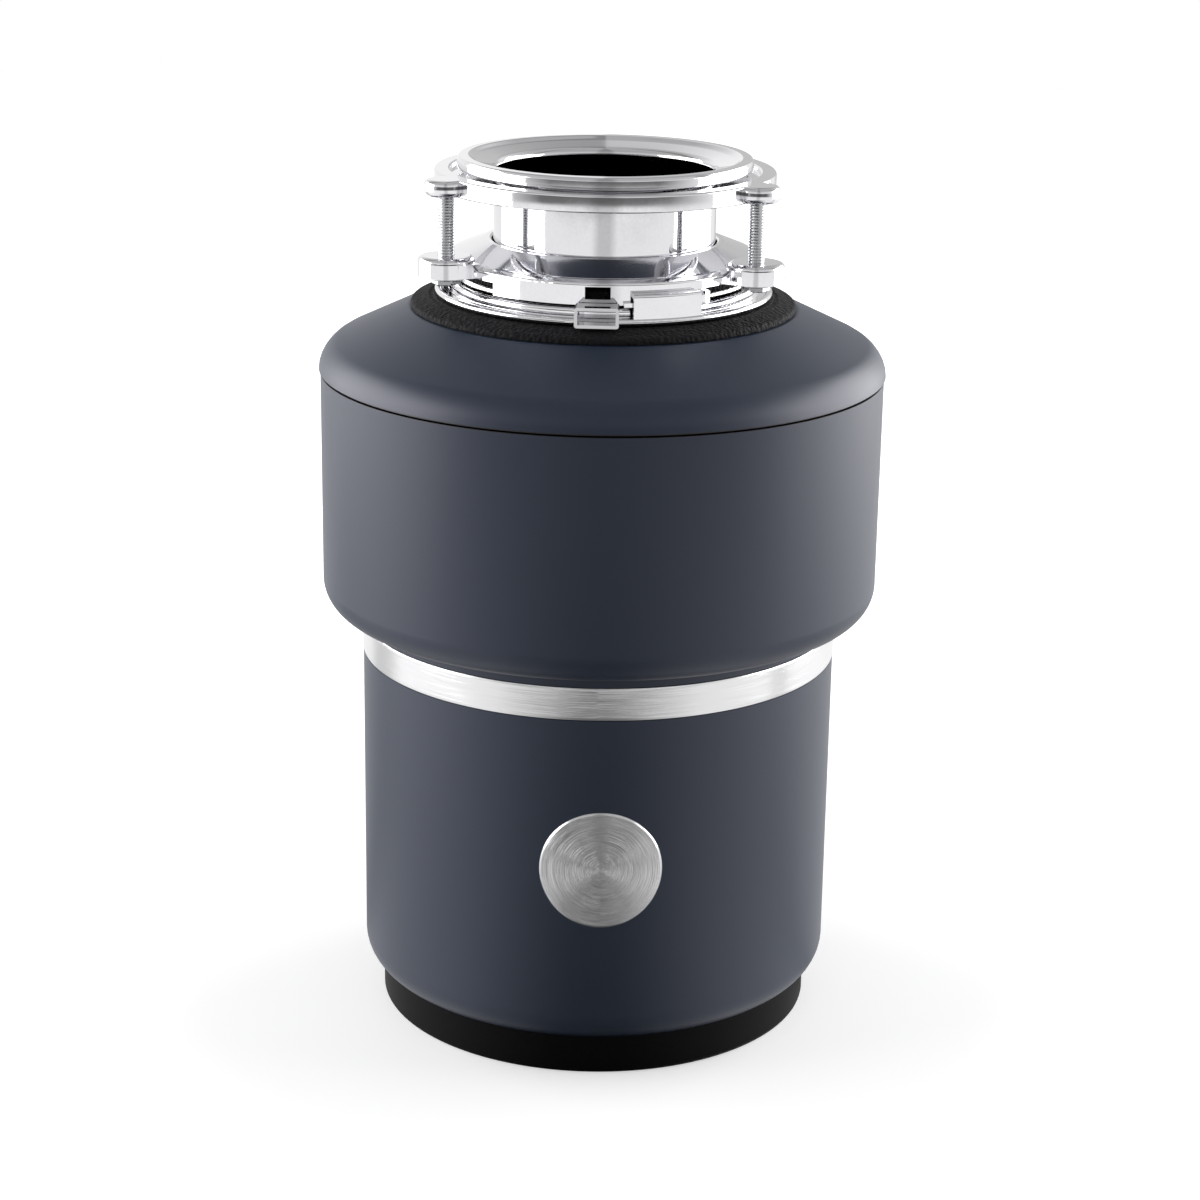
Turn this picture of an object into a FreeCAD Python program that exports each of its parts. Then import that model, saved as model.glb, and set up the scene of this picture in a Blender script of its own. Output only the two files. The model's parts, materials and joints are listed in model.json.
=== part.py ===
import FreeCAD, Part
import math
import os

from FreeCAD import Vector

# Waste disposer that hangs under a kitchen sink. Millimetres, +Z up.
# The axis of the grinding chamber and motor is X = Y = 0, the base stands on Z = 0.
# The front, with the badge, faces -Y. The drain outlet is at the back, +Y.
# Azimuths are degrees about +Z, counted from +X.

# Painted housing
shell_radius = 110.5
shell_wall = 2.5
shell_bottom_z = 167.3
shell_height = 95.0
shell_corner = 11.7
seam_gap = 0.6
cover_overhang = 0.6
cover_height = 25.7
cover_corner = 13.0
cover_drop = 9.0
cover_seat_radius = 76.8
cover_seat_rise = 1.9
cover_seat_step = 0.9
cover_step_width = 2.2

# Motor can, trim band, badge and base
can_radius = 94.8
can_wall = 2.0
can_corner = 12.0
can_bottom_z = 15.0
can_top_gap = 0.3
can_flange = 7.0
can_flange_lap = 1.0
band_drop = 17.8
band_width = 13.3
band_thickness = 0.6
band_proud = 0.15
badge_radius = 23.5
badge_thickness = 1.0
badge_z = 89.2
badge_azimuth = -88.6
base_inset = 7.3
base_height = 30.0
base_wall = 3.0
base_floor_z = 9.0
base_foot_width = 6.0
base_foot_slope = 2.0
base_lip_gap = 0.4

# Sink flange and snap ring
lip_radius = 57.15
lip_edge = 4.0
lip_crown = 4.9
lip_crown_inset = 5.65
throat_radius = 43.15
throat_wall = 1.6
throat_length = 41.8
throat_mouth_rise = 1.2
snap_groove_depth = 0.8
snap_thickness = 1.8
snap_reach = 3.0
snap_gap_angle = 16.0
snap_rise = 0.2

# Clamp plate and mounting screws
mount_azimuth = -92.0
ear_count = 3
screw_reach = 6.9
screw_radius = 3.15
screw_clearance = 0.1
plate_gap = 0.3
plate_inset = 1.5
plate_height = 7.0
plate_wall = 1.8
plate_ear = 8.5
plate_edge = 2.6
plate_hub_clearance = 0.45
plate_seat_margin = 2.35
plate_seat_depth = 2.0
head_flange_radius = 7.6
head_flange_thickness = 1.2
head_hex_flats = 9.5
head_thickness = 3.4
head_slot_width = 1.2
head_slot_depth = 1.2
head_turn = 30.0

# Dished ring with its skirt, ears and bayonet ramps
skirt_gap = 1.4
skirt_rise = 7.0
skirt_cut = 4.5
skirt_relief = 0.7
dish_height = 14.5
dish_drop = 5.0
dish_wall = 2.2
dish_hub_wall = 2.4
ear_radius = 11.0
ear_thickness = 7.6
ear_rise = 5.0
ear_edge = 2.2
ear_web_drop = 2.4
apron_angle = 82.0
notch_width = 9.5
notch_height = 4.6
notch_sill = 2.2
ramp_reach = 2.4
ramp_start_angle = 9.0
ramp_angle = 32.0
ramp_rise = 1.2
ramp_climb = 1.5
ramp_thickness = 1.9
ramp_root = 1.5
ramp_stop_angle = 2.0
ramp_stop_height = 1.4

# Lock ring
running_gap = 0.3
ring_lift = 0.4
ring_sheet = 2.0
ring_rim = 1.4
ring_rim_reach = 3.8
ledge_height = 5.9
ledge_gap = 2.2
hook_start_angle = 12.0
hook_angle = 24.0
hook_thickness = 1.8
hook_leg = 1.8
lug_width = 16.5
lug_height = 7.6
lug_wall = 1.2
lug_lift = 0.3
lug_edge = 1.0
lug_reach = 6.0

# Rubber pieces
collar_inset = 1.6
collar_height = 4.6
collar_edge_drop = 2.4
collar_edge_width = 3.0
neck_gap = 0.4
gasket_wall = 4.35
gasket_lip_height = 3.0
gasket_lip_inset = 1.0
baffle_depth = 11.5
baffle_thickness = 2.0
baffle_hole = 13.0
baffle_rise = 1.5
baffle_edge = 4.0
slit_count = 6
slit_azimuth = 30.0
slit_width = 0.8
slit_margin = 3.45

# Grinding chamber
liner_thickness = 25.0
liner_gap = 0.5
liner_rise = 10.0
liner_drop = 3.3
hopper_wall = 2.0
hopper_flange = 8.0
hopper_rise = 46.7
hopper_fillet = 16.0
shoulder_rise = 7.7
neck_root_drop = 11.0
neck_fillet = 8.0
neck_lip_width = 9.2
neck_lip_gap = 0.4
neck_lip_thickness = 2.2
flange_screw_count = 6
flange_screw_azimuth = 0.0
flange_screw_radius = 2.0
flange_screw_length = 9.0
flange_screw_head = 3.0
flange_screw_head_height = 2.2
flange_screw_shift = 0.4
grind_ring_wall = 2.5
grind_ring_height = 22.0
grind_ring_slots = 30
grind_slot_width = 5.0
grind_slot_height = 6.0
grind_slot_wall = 0.9
grind_rib_margin = 2.0
grind_rib_radius = 1.4

# Turntable and swivel lugs
table_rise = 1.2
table_rim_gap = 0.6
table_thickness = 2.4
table_hub_radius = 17.0
table_hub_depth = 9.0
table_hub_gap = 2.2
table_hole_radius = 3.0
table_hole_circle = 30.0
table_holes = 6
table_hole_azimuth = 30.0
table_small_hole_radius = 2.1
table_small_hole_inset = 9.0
table_small_hole_azimuth = 15.0
table_teeth = 24
table_tooth_depth = 1.6
swivel_rim_gap = 2.1
swivel_tip = 21.0
swivel_tail = 12.0
swivel_half_width = 10.5
swivel_thickness = 13.0
swivel_body_height = 8.0
swivel_gap = 0.3
pin_radius = 5.0
pin_clearance = 0.05
pin_head_radius = 8.0
pin_head_thickness = 2.4
pin_step = 1.5
pin_rivet = 1.5
table_nut_flats = 19.0
table_nut_height = 6.0
table_nut_dome = 1.8
thread_step = 1.5

# Drain housing
drain_floor_rise = 10.7
drain_wall = 3.0
ring_ledge = 1.2
drain_hub_radius = 24.0
outlet_rise = 16.0
outlet_radius = 19.25
outlet_half_height = 24.0
outlet_bolt_spacing = 66.0
outlet_bolt_radius = 3.2
outlet_bolt_depth = 14.0
outlet_boss_radius = 11.0
outlet_boss_root = 13.0
outlet_mouth = 10.0
cutout_gap = 1.5

# Dishwasher inlet
inlet_rise = 27.0
inlet_azimuth = 135.0
inlet_radius = 11.1
inlet_bore = 8.6
inlet_proud = 18.5
inlet_collar_radius = 14.5
inlet_collar_length = 6.0
inlet_hole_gap = 1.5

# Motor
shaft_radius = 7.5
shaft_bottom_z = 13.0
shaft_clearance = 0.05
shaft_end_drop = 1.5
bearing_radius = 11.5
upper_bearing_drop = 12.0
upper_bearing_length = 24.0
seal_height = 7.0
seal_radius = 13.5
lower_bearing_drop = 8.0
lower_bearing_length = 18.0
core_bottom_z = 82.0
core_length = 58.0
air_gap = 0.5
stator_inset = 4.0
stator_slots = 24
slot_tip = 2.5
slot_back = 15.0
slot_depth = 14.0
slot_width = 5.0
slot_mouth = 1.6
winding_height = 18.0
winding_inset = 10.0
winding_margin = 2.0
cage_inset = 1.5
cage_ring_width = 14.5
cage_ring_height = 7.0
fan_blades = 8
fan_blade_height = 8.0
fan_blade_thickness = 1.6
end_frame_gap = 10.3
end_frame_z = 44.0
end_frame_thickness = 5.0
end_frame_hub = 18.0
end_frame_lap = 3.0
window_inner = 30.0
window_rim = 16.0
window_angle = 36.0
bolt_count = 4
bolt_radius = 2.5
bolt_azimuth = 45.0
bolt_boss = 6.5
bolt_boss_height = 14.0
bolt_cover = 2.0
bolt_head_flats = 8.0
bolt_head_height = 4.0
post_count = 3
post_azimuth = 0.0
post_inset = 12.0
post_radius = 5.5
base_screw_radius = 2.0
base_screw_head = 4.0
base_screw_head_height = 2.2
base_screw_length = 14.0
wrench_flats = 6.35
wrench_depth = 9.0
wrench_hole = 11.0

# Switch, wiring and can liner
button_radius = 4.5
button_travel = 3.0
button_proud = 5.0
button_head = 5.0
button_clearance = 0.3
button_collar = 2.0
switch_pocket_spare = 3.5
switch_x = -38.0
switch_y = -26.0
switch_width = 30.0
switch_depth = 22.0
switch_height = 20.0
cable_hole_radius = 11.1
cable_hole_x = 45.0
cable_hole_y = 30.0
cable_boss_wall = 2.5
cable_boss_height = 6.0
cover_plate_width = 44.0
cover_plate_depth = 34.0
cover_plate_thickness = 1.2
cover_plate_x = 30.0
cover_plate_y = -34.0
cover_plate_lap = 4.0
cover_plate_gap = 0.2
cover_plate_corner = 3.0
cover_plate_key = 2.0
can_liner_thickness = 8.0
can_liner_rise = 35.0
can_liner_drop = 22.0

ORIGIN = Vector(0, 0, 0)
UP = Vector(0, 0, 1)
OUT = Vector(1, 0, 0)
BACK = Vector(0, 1, 0)

# Housing and mount heights, from the shell's bottom up
seam_z = shell_bottom_z + shell_height
cover_rim_radius = shell_radius + cover_overhang
cover_seat_z = seam_z + cover_height
collar_top_z = cover_seat_z + collar_height
ring_bottom_z = collar_top_z + ring_lift
ledge_top_z = ring_bottom_z + ledge_height
neck_lip_z = ledge_top_z + neck_lip_gap
neck_lip_top_z = neck_lip_z + neck_lip_thickness
skirt_bottom_z = ring_bottom_z + skirt_rise
skirt_cut_z = skirt_bottom_z + skirt_cut
ear_bottom_z = skirt_bottom_z + ear_rise
ramp_low_z = skirt_bottom_z + ramp_rise
ramp_high_z = ramp_low_z + ramp_climb
dish_top_z = skirt_bottom_z + dish_height
snap_top_z = dish_top_z - dish_drop - dish_wall + snap_rise
throat_bottom_z = skirt_bottom_z
lip_seat_z = throat_bottom_z + throat_length
plate_top_z = lip_seat_z - plate_gap
baffle_z = throat_bottom_z - baffle_depth

# Mount radii, from the throat outwards
throat_bore = throat_radius - throat_wall
plate_inner_radius = throat_radius + plate_hub_clearance
gasket_inner = throat_radius + running_gap
neck_radius = gasket_inner + gasket_wall
neck_outer = neck_radius + hopper_wall
neck_lip_radius = neck_radius + neck_lip_width
ledge_inner_radius = neck_outer + ledge_gap
skirt_radius = neck_lip_radius + skirt_gap + dish_wall
ring_rim_radius = skirt_radius + ring_rim_reach
screw_circle = skirt_radius + screw_reach
plate_radius = screw_circle - plate_inset
plate_seat_radius = lip_radius + plate_seat_margin
collar_radius = cover_seat_radius - collar_inset
ear_azimuths = [mount_azimuth + (k + 0.5) * 360.0 / ear_count for k in range(ear_count)]
front_azimuths = [mount_azimuth + k * 360.0 / ear_count for k in range(ear_count)]

# Grinding chamber and turntable
liner_radius = shell_radius - shell_wall - liner_gap
hopper_outer = liner_radius - liner_thickness - liner_gap
hopper_radius = hopper_outer - hopper_wall
hopper_bottom_z = shell_bottom_z + hopper_rise
shoulder_z = seam_z + shoulder_rise
neck_root_z = cover_seat_z - neck_root_drop
grind_ring_inner = hopper_radius - grind_ring_wall
table_bottom_z = hopper_bottom_z + table_rise
table_top_z = table_bottom_z + table_thickness
table_radius = grind_ring_inner - grind_rib_radius - table_rim_gap
lug_pivot_circle = grind_ring_inner - grind_rib_radius - swivel_rim_gap - swivel_tip
swivel_bottom_z = table_top_z + swivel_gap
swivel_top_z = swivel_bottom_z + swivel_thickness
inlet_z = hopper_bottom_z + inlet_rise
inlet_reach = shell_radius + inlet_proud

# Drain housing and motor
drain_floor_z = shell_bottom_z + drain_floor_rise
drain_hub_top_z = table_bottom_z - table_hub_depth - table_hub_gap
outlet_z = drain_floor_z + outlet_rise
outlet_face_y = cover_rim_radius
upper_bearing_z = drain_floor_z - upper_bearing_drop
lower_bearing_z = end_frame_z - lower_bearing_drop
core_top_z = core_bottom_z + core_length
can_top_z = shell_bottom_z - can_top_gap
band_bottom_z = can_top_z - band_drop
can_liner_radius = can_radius - can_wall - liner_gap
end_frame_radius = can_liner_radius - can_liner_thickness - end_frame_gap
bolt_circle = end_frame_radius
stator_radius = end_frame_radius - stator_inset
slot_inner_radius = stator_radius - slot_back - slot_depth
rotor_radius = slot_inner_radius - slot_tip - air_gap
cage_inner = rotor_radius - cage_inset - cage_ring_width
winding_inner = slot_inner_radius + winding_margin
winding_outer = stator_radius - winding_inset
post_circle = end_frame_radius - post_inset
base_radius = can_radius - base_inset
base_floor_bottom_z = base_floor_z - base_wall


def rounded_wire(corners):
    """Closed outline in the XZ plane. A corner (r, z, fillet) is rounded by a tangent arc."""
    points = [Vector(corner[0], 0, corner[1]) for corner in corners]
    starts = []
    middles = []
    ends = []
    for index, corner in enumerate(corners):
        here = points[index]
        if len(corner) < 3:
            starts.append(here)
            middles.append(None)
            ends.append(here)
            continue
        back = (points[index - 1] - here).normalize()
        ahead = (points[(index + 1) % len(points)] - here).normalize()
        half_turn = back.getAngle(ahead) / 2
        reach = corner[2] / math.tan(half_turn)
        depth = corner[2] / math.sin(half_turn) - corner[2]
        starts.append(here + back * reach)
        middles.append(here + (back + ahead).normalize() * depth)
        ends.append(here + ahead * reach)
    edges = []
    for index, middle in enumerate(middles):
        if middle is not None:
            edges.append(Part.Arc(starts[index], middle, ends[index]).toShape())
        following = starts[(index + 1) % len(starts)]
        if ends[index].distanceToPoint(following) > 1e-6:
            edges.append(Part.makeLine(ends[index], following))
    return Part.Wire(edges)


def turned(corners, start=0.0, sweep=360.0):
    """Solid turned about the Z axis from an (r, z) outline, from one azimuth over a sweep."""
    face = Part.Face(rounded_wire(corners))
    solid = face.revolve(ORIGIN, UP, sweep)
    if solid.Volume < 0:
        solid.reverse()
    solid.rotate(ORIGIN, UP, start)
    return solid


def tube(outer, inner, bottom, top):
    """Plain ring between two heights."""
    ring = Part.makeCylinder(outer, top - bottom, Vector(0, 0, bottom))
    return ring.cut(Part.makeCylinder(inner, top - bottom + 2, Vector(0, 0, bottom - 1)))


def rod(radius, bottom, top, x=0.0, y=0.0):
    """Upright round bar."""
    return Part.makeCylinder(radius, top - bottom, Vector(x, y, bottom))


def around(azimuth, radius, z=0.0):
    """Point at an azimuth and radius."""
    angle = math.radians(azimuth)
    return Vector(radius * math.cos(angle), radius * math.sin(angle), z)


def turned_to(shape, azimuth):
    """Copy of a shape made on the +X side, turned to an azimuth."""
    copy = shape.copy()
    copy.rotate(ORIGIN, UP, azimuth)
    return copy


def pattern(shape, azimuths):
    """Copies of a shape made on the +X side, one at each azimuth."""
    return [turned_to(shape, azimuth) for azimuth in azimuths]


def evenly(count, first=0.0):
    """Azimuths of an even circular pattern."""
    return [first + k * 360.0 / count for k in range(count)]


def fused(shapes):
    """One body from several overlapping ones."""
    return shapes[0].multiFuse(shapes[1:]).removeSplitter()


def block(x_low, x_high, y_low, y_high, z_low, z_high):
    """Box by its limits."""
    corner = Vector(x_low, y_low, z_low)
    return Part.makeBox(x_high - x_low, y_high - y_low, z_high - z_low, corner)


def hexagon(flats, bottom, top, x=0.0, y=0.0):
    """Upright hexagonal bar."""
    circle = flats / math.sqrt(3)
    corners = [Vector(x, y, bottom) + around(60 * k, circle) for k in range(7)]
    return Part.Face(Part.makePolygon(corners)).extrude(Vector(0, 0, top - bottom))


def level_edges(shape, z):
    """Edges that lie wholly at one height."""
    found = []
    for edge in shape.Edges:
        box = edge.BoundBox
        if abs(box.ZMin - z) < 1e-4 and abs(box.ZMax - z) < 1e-4:
            found.append(edge)
    return found


def upright_edges(shape, near, reach):
    """Straight upright edges within reach of a point seen from above."""
    found = []
    for edge in shape.Edges:
        box = edge.BoundBox
        if box.XLength > 1e-4 or box.YLength > 1e-4:
            continue
        if math.hypot(box.XMin - near.x, box.YMin - near.y) < reach:
            found.append(edge)
    return found


def make_sink_flange():
    """Polished flange: a crowned lip and a straight throat with a groove for the snap ring."""
    groove = throat_radius - snap_groove_depth
    return turned([
        (throat_bore, throat_bottom_z),
        (throat_bore, lip_seat_z + throat_mouth_rise, 4.0),
        (lip_radius - lip_crown_inset, lip_seat_z + lip_crown, 6.0),
        (lip_radius, lip_seat_z + lip_edge, 1.8),
        (lip_radius, lip_seat_z, 0.8),
        (throat_radius, lip_seat_z),
        (throat_radius, snap_top_z),
        (groove, snap_top_z),
        (groove, snap_top_z - snap_thickness),
        (throat_radius, snap_top_z - snap_thickness),
        (throat_radius, throat_bottom_z),
    ])


def make_snap_ring():
    """Split spring ring in the throat's groove. It carries the dished ring."""
    inner = throat_radius - snap_groove_depth
    ring = tube(inner + snap_reach, inner, snap_top_z - snap_thickness, snap_top_z)
    half = math.radians(snap_gap_angle / 2) * throat_radius
    gap = block(throat_radius - 5, throat_radius + 5, -half, half, snap_top_z - 5, snap_top_z + 5)
    return ring.cut(turned_to(gap, mount_azimuth))


def eared_plate(radius, ear, bottom, top):
    """Round plate with an ear at each screw."""
    parts = [rod(radius, bottom, top)]
    for azimuth in ear_azimuths:
        centre = around(azimuth, screw_circle)
        parts.append(rod(ear, bottom, top, centre.x, centre.y))
    return fused(parts)


def make_backup_flange():
    """Pressed clamp plate: three ears, a turned-down rim and a sunk seat under the sink's lip."""
    bottom = plate_top_z - plate_height
    seat_z = plate_top_z - plate_seat_depth
    plate = eared_plate(plate_radius, plate_ear, bottom, plate_top_z)
    plate = plate.makeFillet(plate_ear * 0.7, upright_edges(plate, ORIGIN, plate_radius + 1))
    plate = plate.makeFillet(plate_edge, level_edges(plate, plate_top_z))
    hollow = eared_plate(plate_radius - plate_wall, plate_ear - plate_wall,
                         bottom - 1, plate_top_z - plate_wall)
    plate = plate.cut(hollow).cut(rod(plate_seat_radius, seat_z, plate_top_z + 1))
    seat = turned([
        (plate_inner_radius, bottom + plate_wall),
        (plate_inner_radius, seat_z),
        (plate_seat_radius, seat_z),
        (plate_seat_radius, plate_top_z - plate_wall / 2),
        (plate_seat_radius + plate_wall, plate_top_z - plate_wall / 2),
        (plate_seat_radius + plate_wall, seat_z - plate_wall, 1.0),
        (plate_inner_radius + plate_wall, seat_z - plate_wall, 1.0),
        (plate_inner_radius + plate_wall, bottom + plate_wall),
    ])
    bore = rod(plate_inner_radius, bottom - 1, plate_top_z + 1)
    return fused([plate.cut(bore), seat])


def make_mounting_screws():
    """Three slotted hex screws that jack the clamp plate against the sink."""
    tip_z = plate_top_z - plate_wall
    hex_bottom = ear_bottom_z - head_thickness
    solids = []
    for azimuth in ear_azimuths:
        centre = around(azimuth, screw_circle)
        shank = rod(screw_radius, ear_bottom_z, tip_z, centre.x, centre.y)
        shank = shank.makeChamfer(0.8, level_edges(shank, tip_z))
        flange = rod(head_flange_radius, ear_bottom_z - head_flange_thickness, ear_bottom_z,
                     centre.x, centre.y)
        head = hexagon(head_hex_flats, hex_bottom, ear_bottom_z - head_flange_thickness,
                       centre.x, centre.y)
        head.rotate(centre, UP, azimuth + head_turn)
        slot = block(centre.x - head_slot_width / 2, centre.x + head_slot_width / 2,
                     centre.y - head_flange_radius, centre.y + head_flange_radius,
                     hex_bottom, hex_bottom + head_slot_depth)
        solids.append(fused([shank, flange, head]).cut(slot))
    return Part.makeCompound(solids)


def make_ramp():
    """Sloping bayonet ramp on the skirt, made on the +X side from azimuth 0."""
    inner = skirt_radius - ramp_root
    outer = skirt_radius + ramp_reach
    underside = ramp_low_z - ramp_thickness
    stop_z = ramp_high_z + ramp_stop_height
    band = [
        (inner, underside),
        (outer, underside, 0.5),
        (outer, stop_z),
        (inner, stop_z),
    ]
    ramp = turned(band, 0.0, ramp_angle)
    run = 2 * skirt_radius * math.sin(math.radians(ramp_angle / 2))
    knife = block(0, 2 * skirt_radius, -skirt_radius, skirt_radius, 0, skirt_radius)
    knife.rotate(ORIGIN, OUT, math.degrees(math.atan2(ramp_climb, run)))
    knife.translate(Vector(0, 0, (ramp_low_z + ramp_high_z) / 2))
    knife.rotate(ORIGIN, UP, ramp_angle / 2)
    stop = turned([
        (inner, underside),
        (outer, underside),
        (outer, stop_z, 0.6),
        (inner, stop_z),
    ], ramp_angle - ramp_stop_angle, ramp_stop_angle)
    return fused([ramp.cut(knife), stop])


def make_mounting_ring():
    """Dished ring on the snap ring: three screw ears, a skirt and three bayonet ramps."""
    hub_inner = plate_inner_radius
    edge_z = dish_top_z - dish_drop
    ear_top_z = ear_bottom_z + ear_thickness
    relief_top_z = edge_z - ear_web_drop
    outline = [
        (hub_inner, snap_top_z),
        (hub_inner, dish_top_z, 1.0),
        (hub_inner + dish_hub_wall, dish_top_z, 0.8),
        (skirt_radius - 2.0, edge_z, 3.0),
        (skirt_radius, edge_z - 1.6, 1.2),
        (skirt_radius, skirt_bottom_z),
        (skirt_radius - dish_wall, skirt_bottom_z),
        (skirt_radius - dish_wall, edge_z - dish_wall - 1.2, 1.0),
        (hub_inner + dish_hub_wall, dish_top_z - dish_wall - 0.4),
        (hub_inner + dish_hub_wall, snap_top_z),
    ]
    ring = turned(outline)
    relief_angle = 360.0 / ear_count - apron_angle
    relief = turned([
        (skirt_radius - skirt_relief, skirt_cut_z),
        (skirt_radius - skirt_relief, relief_top_z),
        (skirt_radius + 1, relief_top_z),
        (skirt_radius + 1, skirt_bottom_z - 1),
        (skirt_radius - dish_wall - 1, skirt_bottom_z - 1),
        (skirt_radius - dish_wall - 1, skirt_cut_z),
    ], -relief_angle / 2, relief_angle)
    boss = rod(ear_radius, ear_bottom_z, ear_top_z, screw_circle, 0)
    web = block(skirt_radius - dish_wall, screw_circle, -ear_radius, ear_radius,
                ear_bottom_z, ear_top_z - ear_web_drop)
    boss = boss.makeFillet(ear_edge, level_edges(boss, ear_top_z))
    ears = pattern(fused([boss, web]), ear_azimuths)
    notch_half = notch_width / 2
    notch = block(skirt_radius - 2 * dish_wall, skirt_radius + dish_wall, -notch_half, notch_half,
                  skirt_bottom_z + notch_sill, skirt_bottom_z + notch_sill + notch_height)
    ring = ring.cut(Part.makeCompound(pattern(relief, ear_azimuths)))
    ramps = pattern(make_ramp(), [a + ramp_start_angle for a in front_azimuths])
    ring = fused([ring] + ears + ramps)
    inside = rod(skirt_radius - dish_wall, skirt_bottom_z - 1, edge_z - ear_web_drop - dish_wall)
    ring = ring.cut(inside)
    ring = ring.cut(Part.makeCompound(pattern(notch, front_azimuths)))
    hole = rod(screw_radius + screw_clearance, skirt_bottom_z, dish_top_z, screw_circle, 0)
    holes = pattern(hole, ear_azimuths)
    return ring.cut(Part.makeCompound(holes)).removeSplitter()


def make_lock_ring():
    """Lower ring: a pressed Z section under the neck's lip, three hooks and three wrench lugs."""
    riser_outer = skirt_radius - running_gap
    section = [
        (ledge_inner_radius, ledge_top_z - ring_sheet),
        (ledge_inner_radius, ledge_top_z, 0.6),
        (riser_outer, ledge_top_z, 1.6),
        (riser_outer, ring_bottom_z + ring_sheet, 0.6),
        (ring_rim_radius, ring_bottom_z + ring_sheet),
        (ring_rim_radius, ring_bottom_z),
        (riser_outer - ring_sheet, ring_bottom_z, 1.0),
        (riser_outer - ring_sheet, ledge_top_z - ring_sheet, 0.4),
    ]
    rim = Part.makeTorus(ring_rim_radius, ring_rim, Vector(0, 0, ring_bottom_z + ring_rim))
    hook_inner = skirt_radius + running_gap
    leg_inner = skirt_radius + ramp_reach + running_gap
    hook_bottom = ramp_high_z + running_gap
    hook = turned([
        (leg_inner, ring_bottom_z + ring_sheet / 2),
        (leg_inner, hook_bottom, 0.4),
        (hook_inner, hook_bottom),
        (hook_inner, hook_bottom + hook_thickness, 0.5),
        (leg_inner + hook_leg, hook_bottom + hook_thickness, 1.2),
        (leg_inner + hook_leg, ring_bottom_z + ring_sheet / 2),
    ], hook_start_angle, hook_angle)
    lug_low = ring_bottom_z + lug_lift
    lug_outer = ring_rim_radius + lug_reach
    lug_root = skirt_radius + 2 * running_gap
    lug = block(lug_root, lug_outer, -lug_width / 2, lug_width / 2, lug_low, lug_low + lug_height)
    long_edges = [e for e in lug.Edges if e.BoundBox.XLength > 1]
    lug = lug.makeFillet(lug_edge, long_edges)
    hole = block(lug_root, lug_outer + 1, lug_wall - lug_width / 2, lug_width / 2 - lug_wall,
                 lug_low + lug_wall, lug_low + lug_height - lug_wall)
    hooks = pattern(hook, front_azimuths)
    lugs = pattern(lug, front_azimuths)
    ring = fused([turned(section), rim] + hooks + lugs)
    return ring.cut(Part.makeCompound(pattern(hole, front_azimuths)))


def make_mounting_gasket():
    """Rubber gasket over the neck with a slit splash baffle across the throat."""
    inner = gasket_inner
    gasket_top_z = neck_lip_top_z + gasket_lip_height
    outline = [
        (baffle_hole, baffle_z),
        (baffle_hole, baffle_z + baffle_thickness, 0.9),
        (inner - baffle_edge, baffle_z + baffle_thickness + baffle_rise, 3.0),
        (inner, throat_bottom_z - baffle_edge, 2.0),
        (inner, gasket_top_z, 1.0),
        (neck_lip_radius - gasket_lip_inset, gasket_top_z, 1.4),
        (neck_lip_radius - gasket_lip_inset, neck_lip_top_z),
        (neck_radius, neck_lip_top_z),
        (neck_radius, baffle_z + baffle_rise - 0.5, 2.0),
        (inner - baffle_edge, baffle_z, 3.0),
    ]
    slit = block(baffle_hole - 1, inner - baffle_edge - slit_margin, -slit_width / 2, slit_width / 2,
                 baffle_z - 1, baffle_z + baffle_thickness + baffle_rise)
    return turned(outline).cut(Part.makeCompound(pattern(slit, evenly(slit_count, slit_azimuth))))


def make_isolation_collar():
    """Black rubber collar on the cover under the lock ring."""
    return turned([
        (neck_outer + neck_gap, cover_seat_z),
        (neck_outer + neck_gap, collar_top_z, 0.6),
        (ring_rim_radius + collar_edge_width, collar_top_z, 1.5),
        (collar_radius, collar_top_z - collar_edge_drop, 1.6),
        (collar_radius, cover_seat_z),
    ])


def make_upper_cover():
    """Dished top cover, painted. Its rim meets the large shell at the seam."""
    rim = cover_rim_radius
    corner_z = seam_z + cover_drop
    slope_in = cover_seat_radius + cover_step_width
    slope_z = cover_seat_z - cover_seat_rise
    wall = shell_wall
    outline = [
        (neck_outer + neck_gap, cover_seat_z - wall),
        (neck_outer + neck_gap, cover_seat_z),
        (cover_seat_radius, cover_seat_z, 0.3),
        (cover_seat_radius + 0.7, slope_z - cover_seat_step, 0.5),
        (slope_in, slope_z, 1.0),
        (rim, corner_z, cover_corner),
        (rim, seam_z + seam_gap),
        (rim - wall, seam_z + seam_gap),
        (rim - wall, corner_z - wall * 0.7, cover_corner - 2 * wall),
        (cover_seat_radius, slope_z - wall, 1.0),
        (cover_seat_radius - wall, cover_seat_z - wall, 1.0),
    ]
    return turned(outline)


def outlet_outline(grow, y_low, y_high):
    """Rounded oval bar along +Y for the drain boss and the cut-out round it."""
    radius = outlet_boss_radius + grow
    half = outlet_bolt_spacing / 2
    parts = []
    for side in (-1, 1):
        foot = Vector(side * half, y_low, outlet_z)
        parts.append(Part.makeCylinder(radius, y_high - y_low, foot, BACK))
    parts.append(Part.makeCylinder(outlet_half_height + grow, y_high - y_low,
                                   Vector(0, y_low, outlet_z), BACK))
    parts.append(block(-half, half, y_low, y_high, outlet_z - radius, outlet_z + radius))
    return fused(parts)


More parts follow.
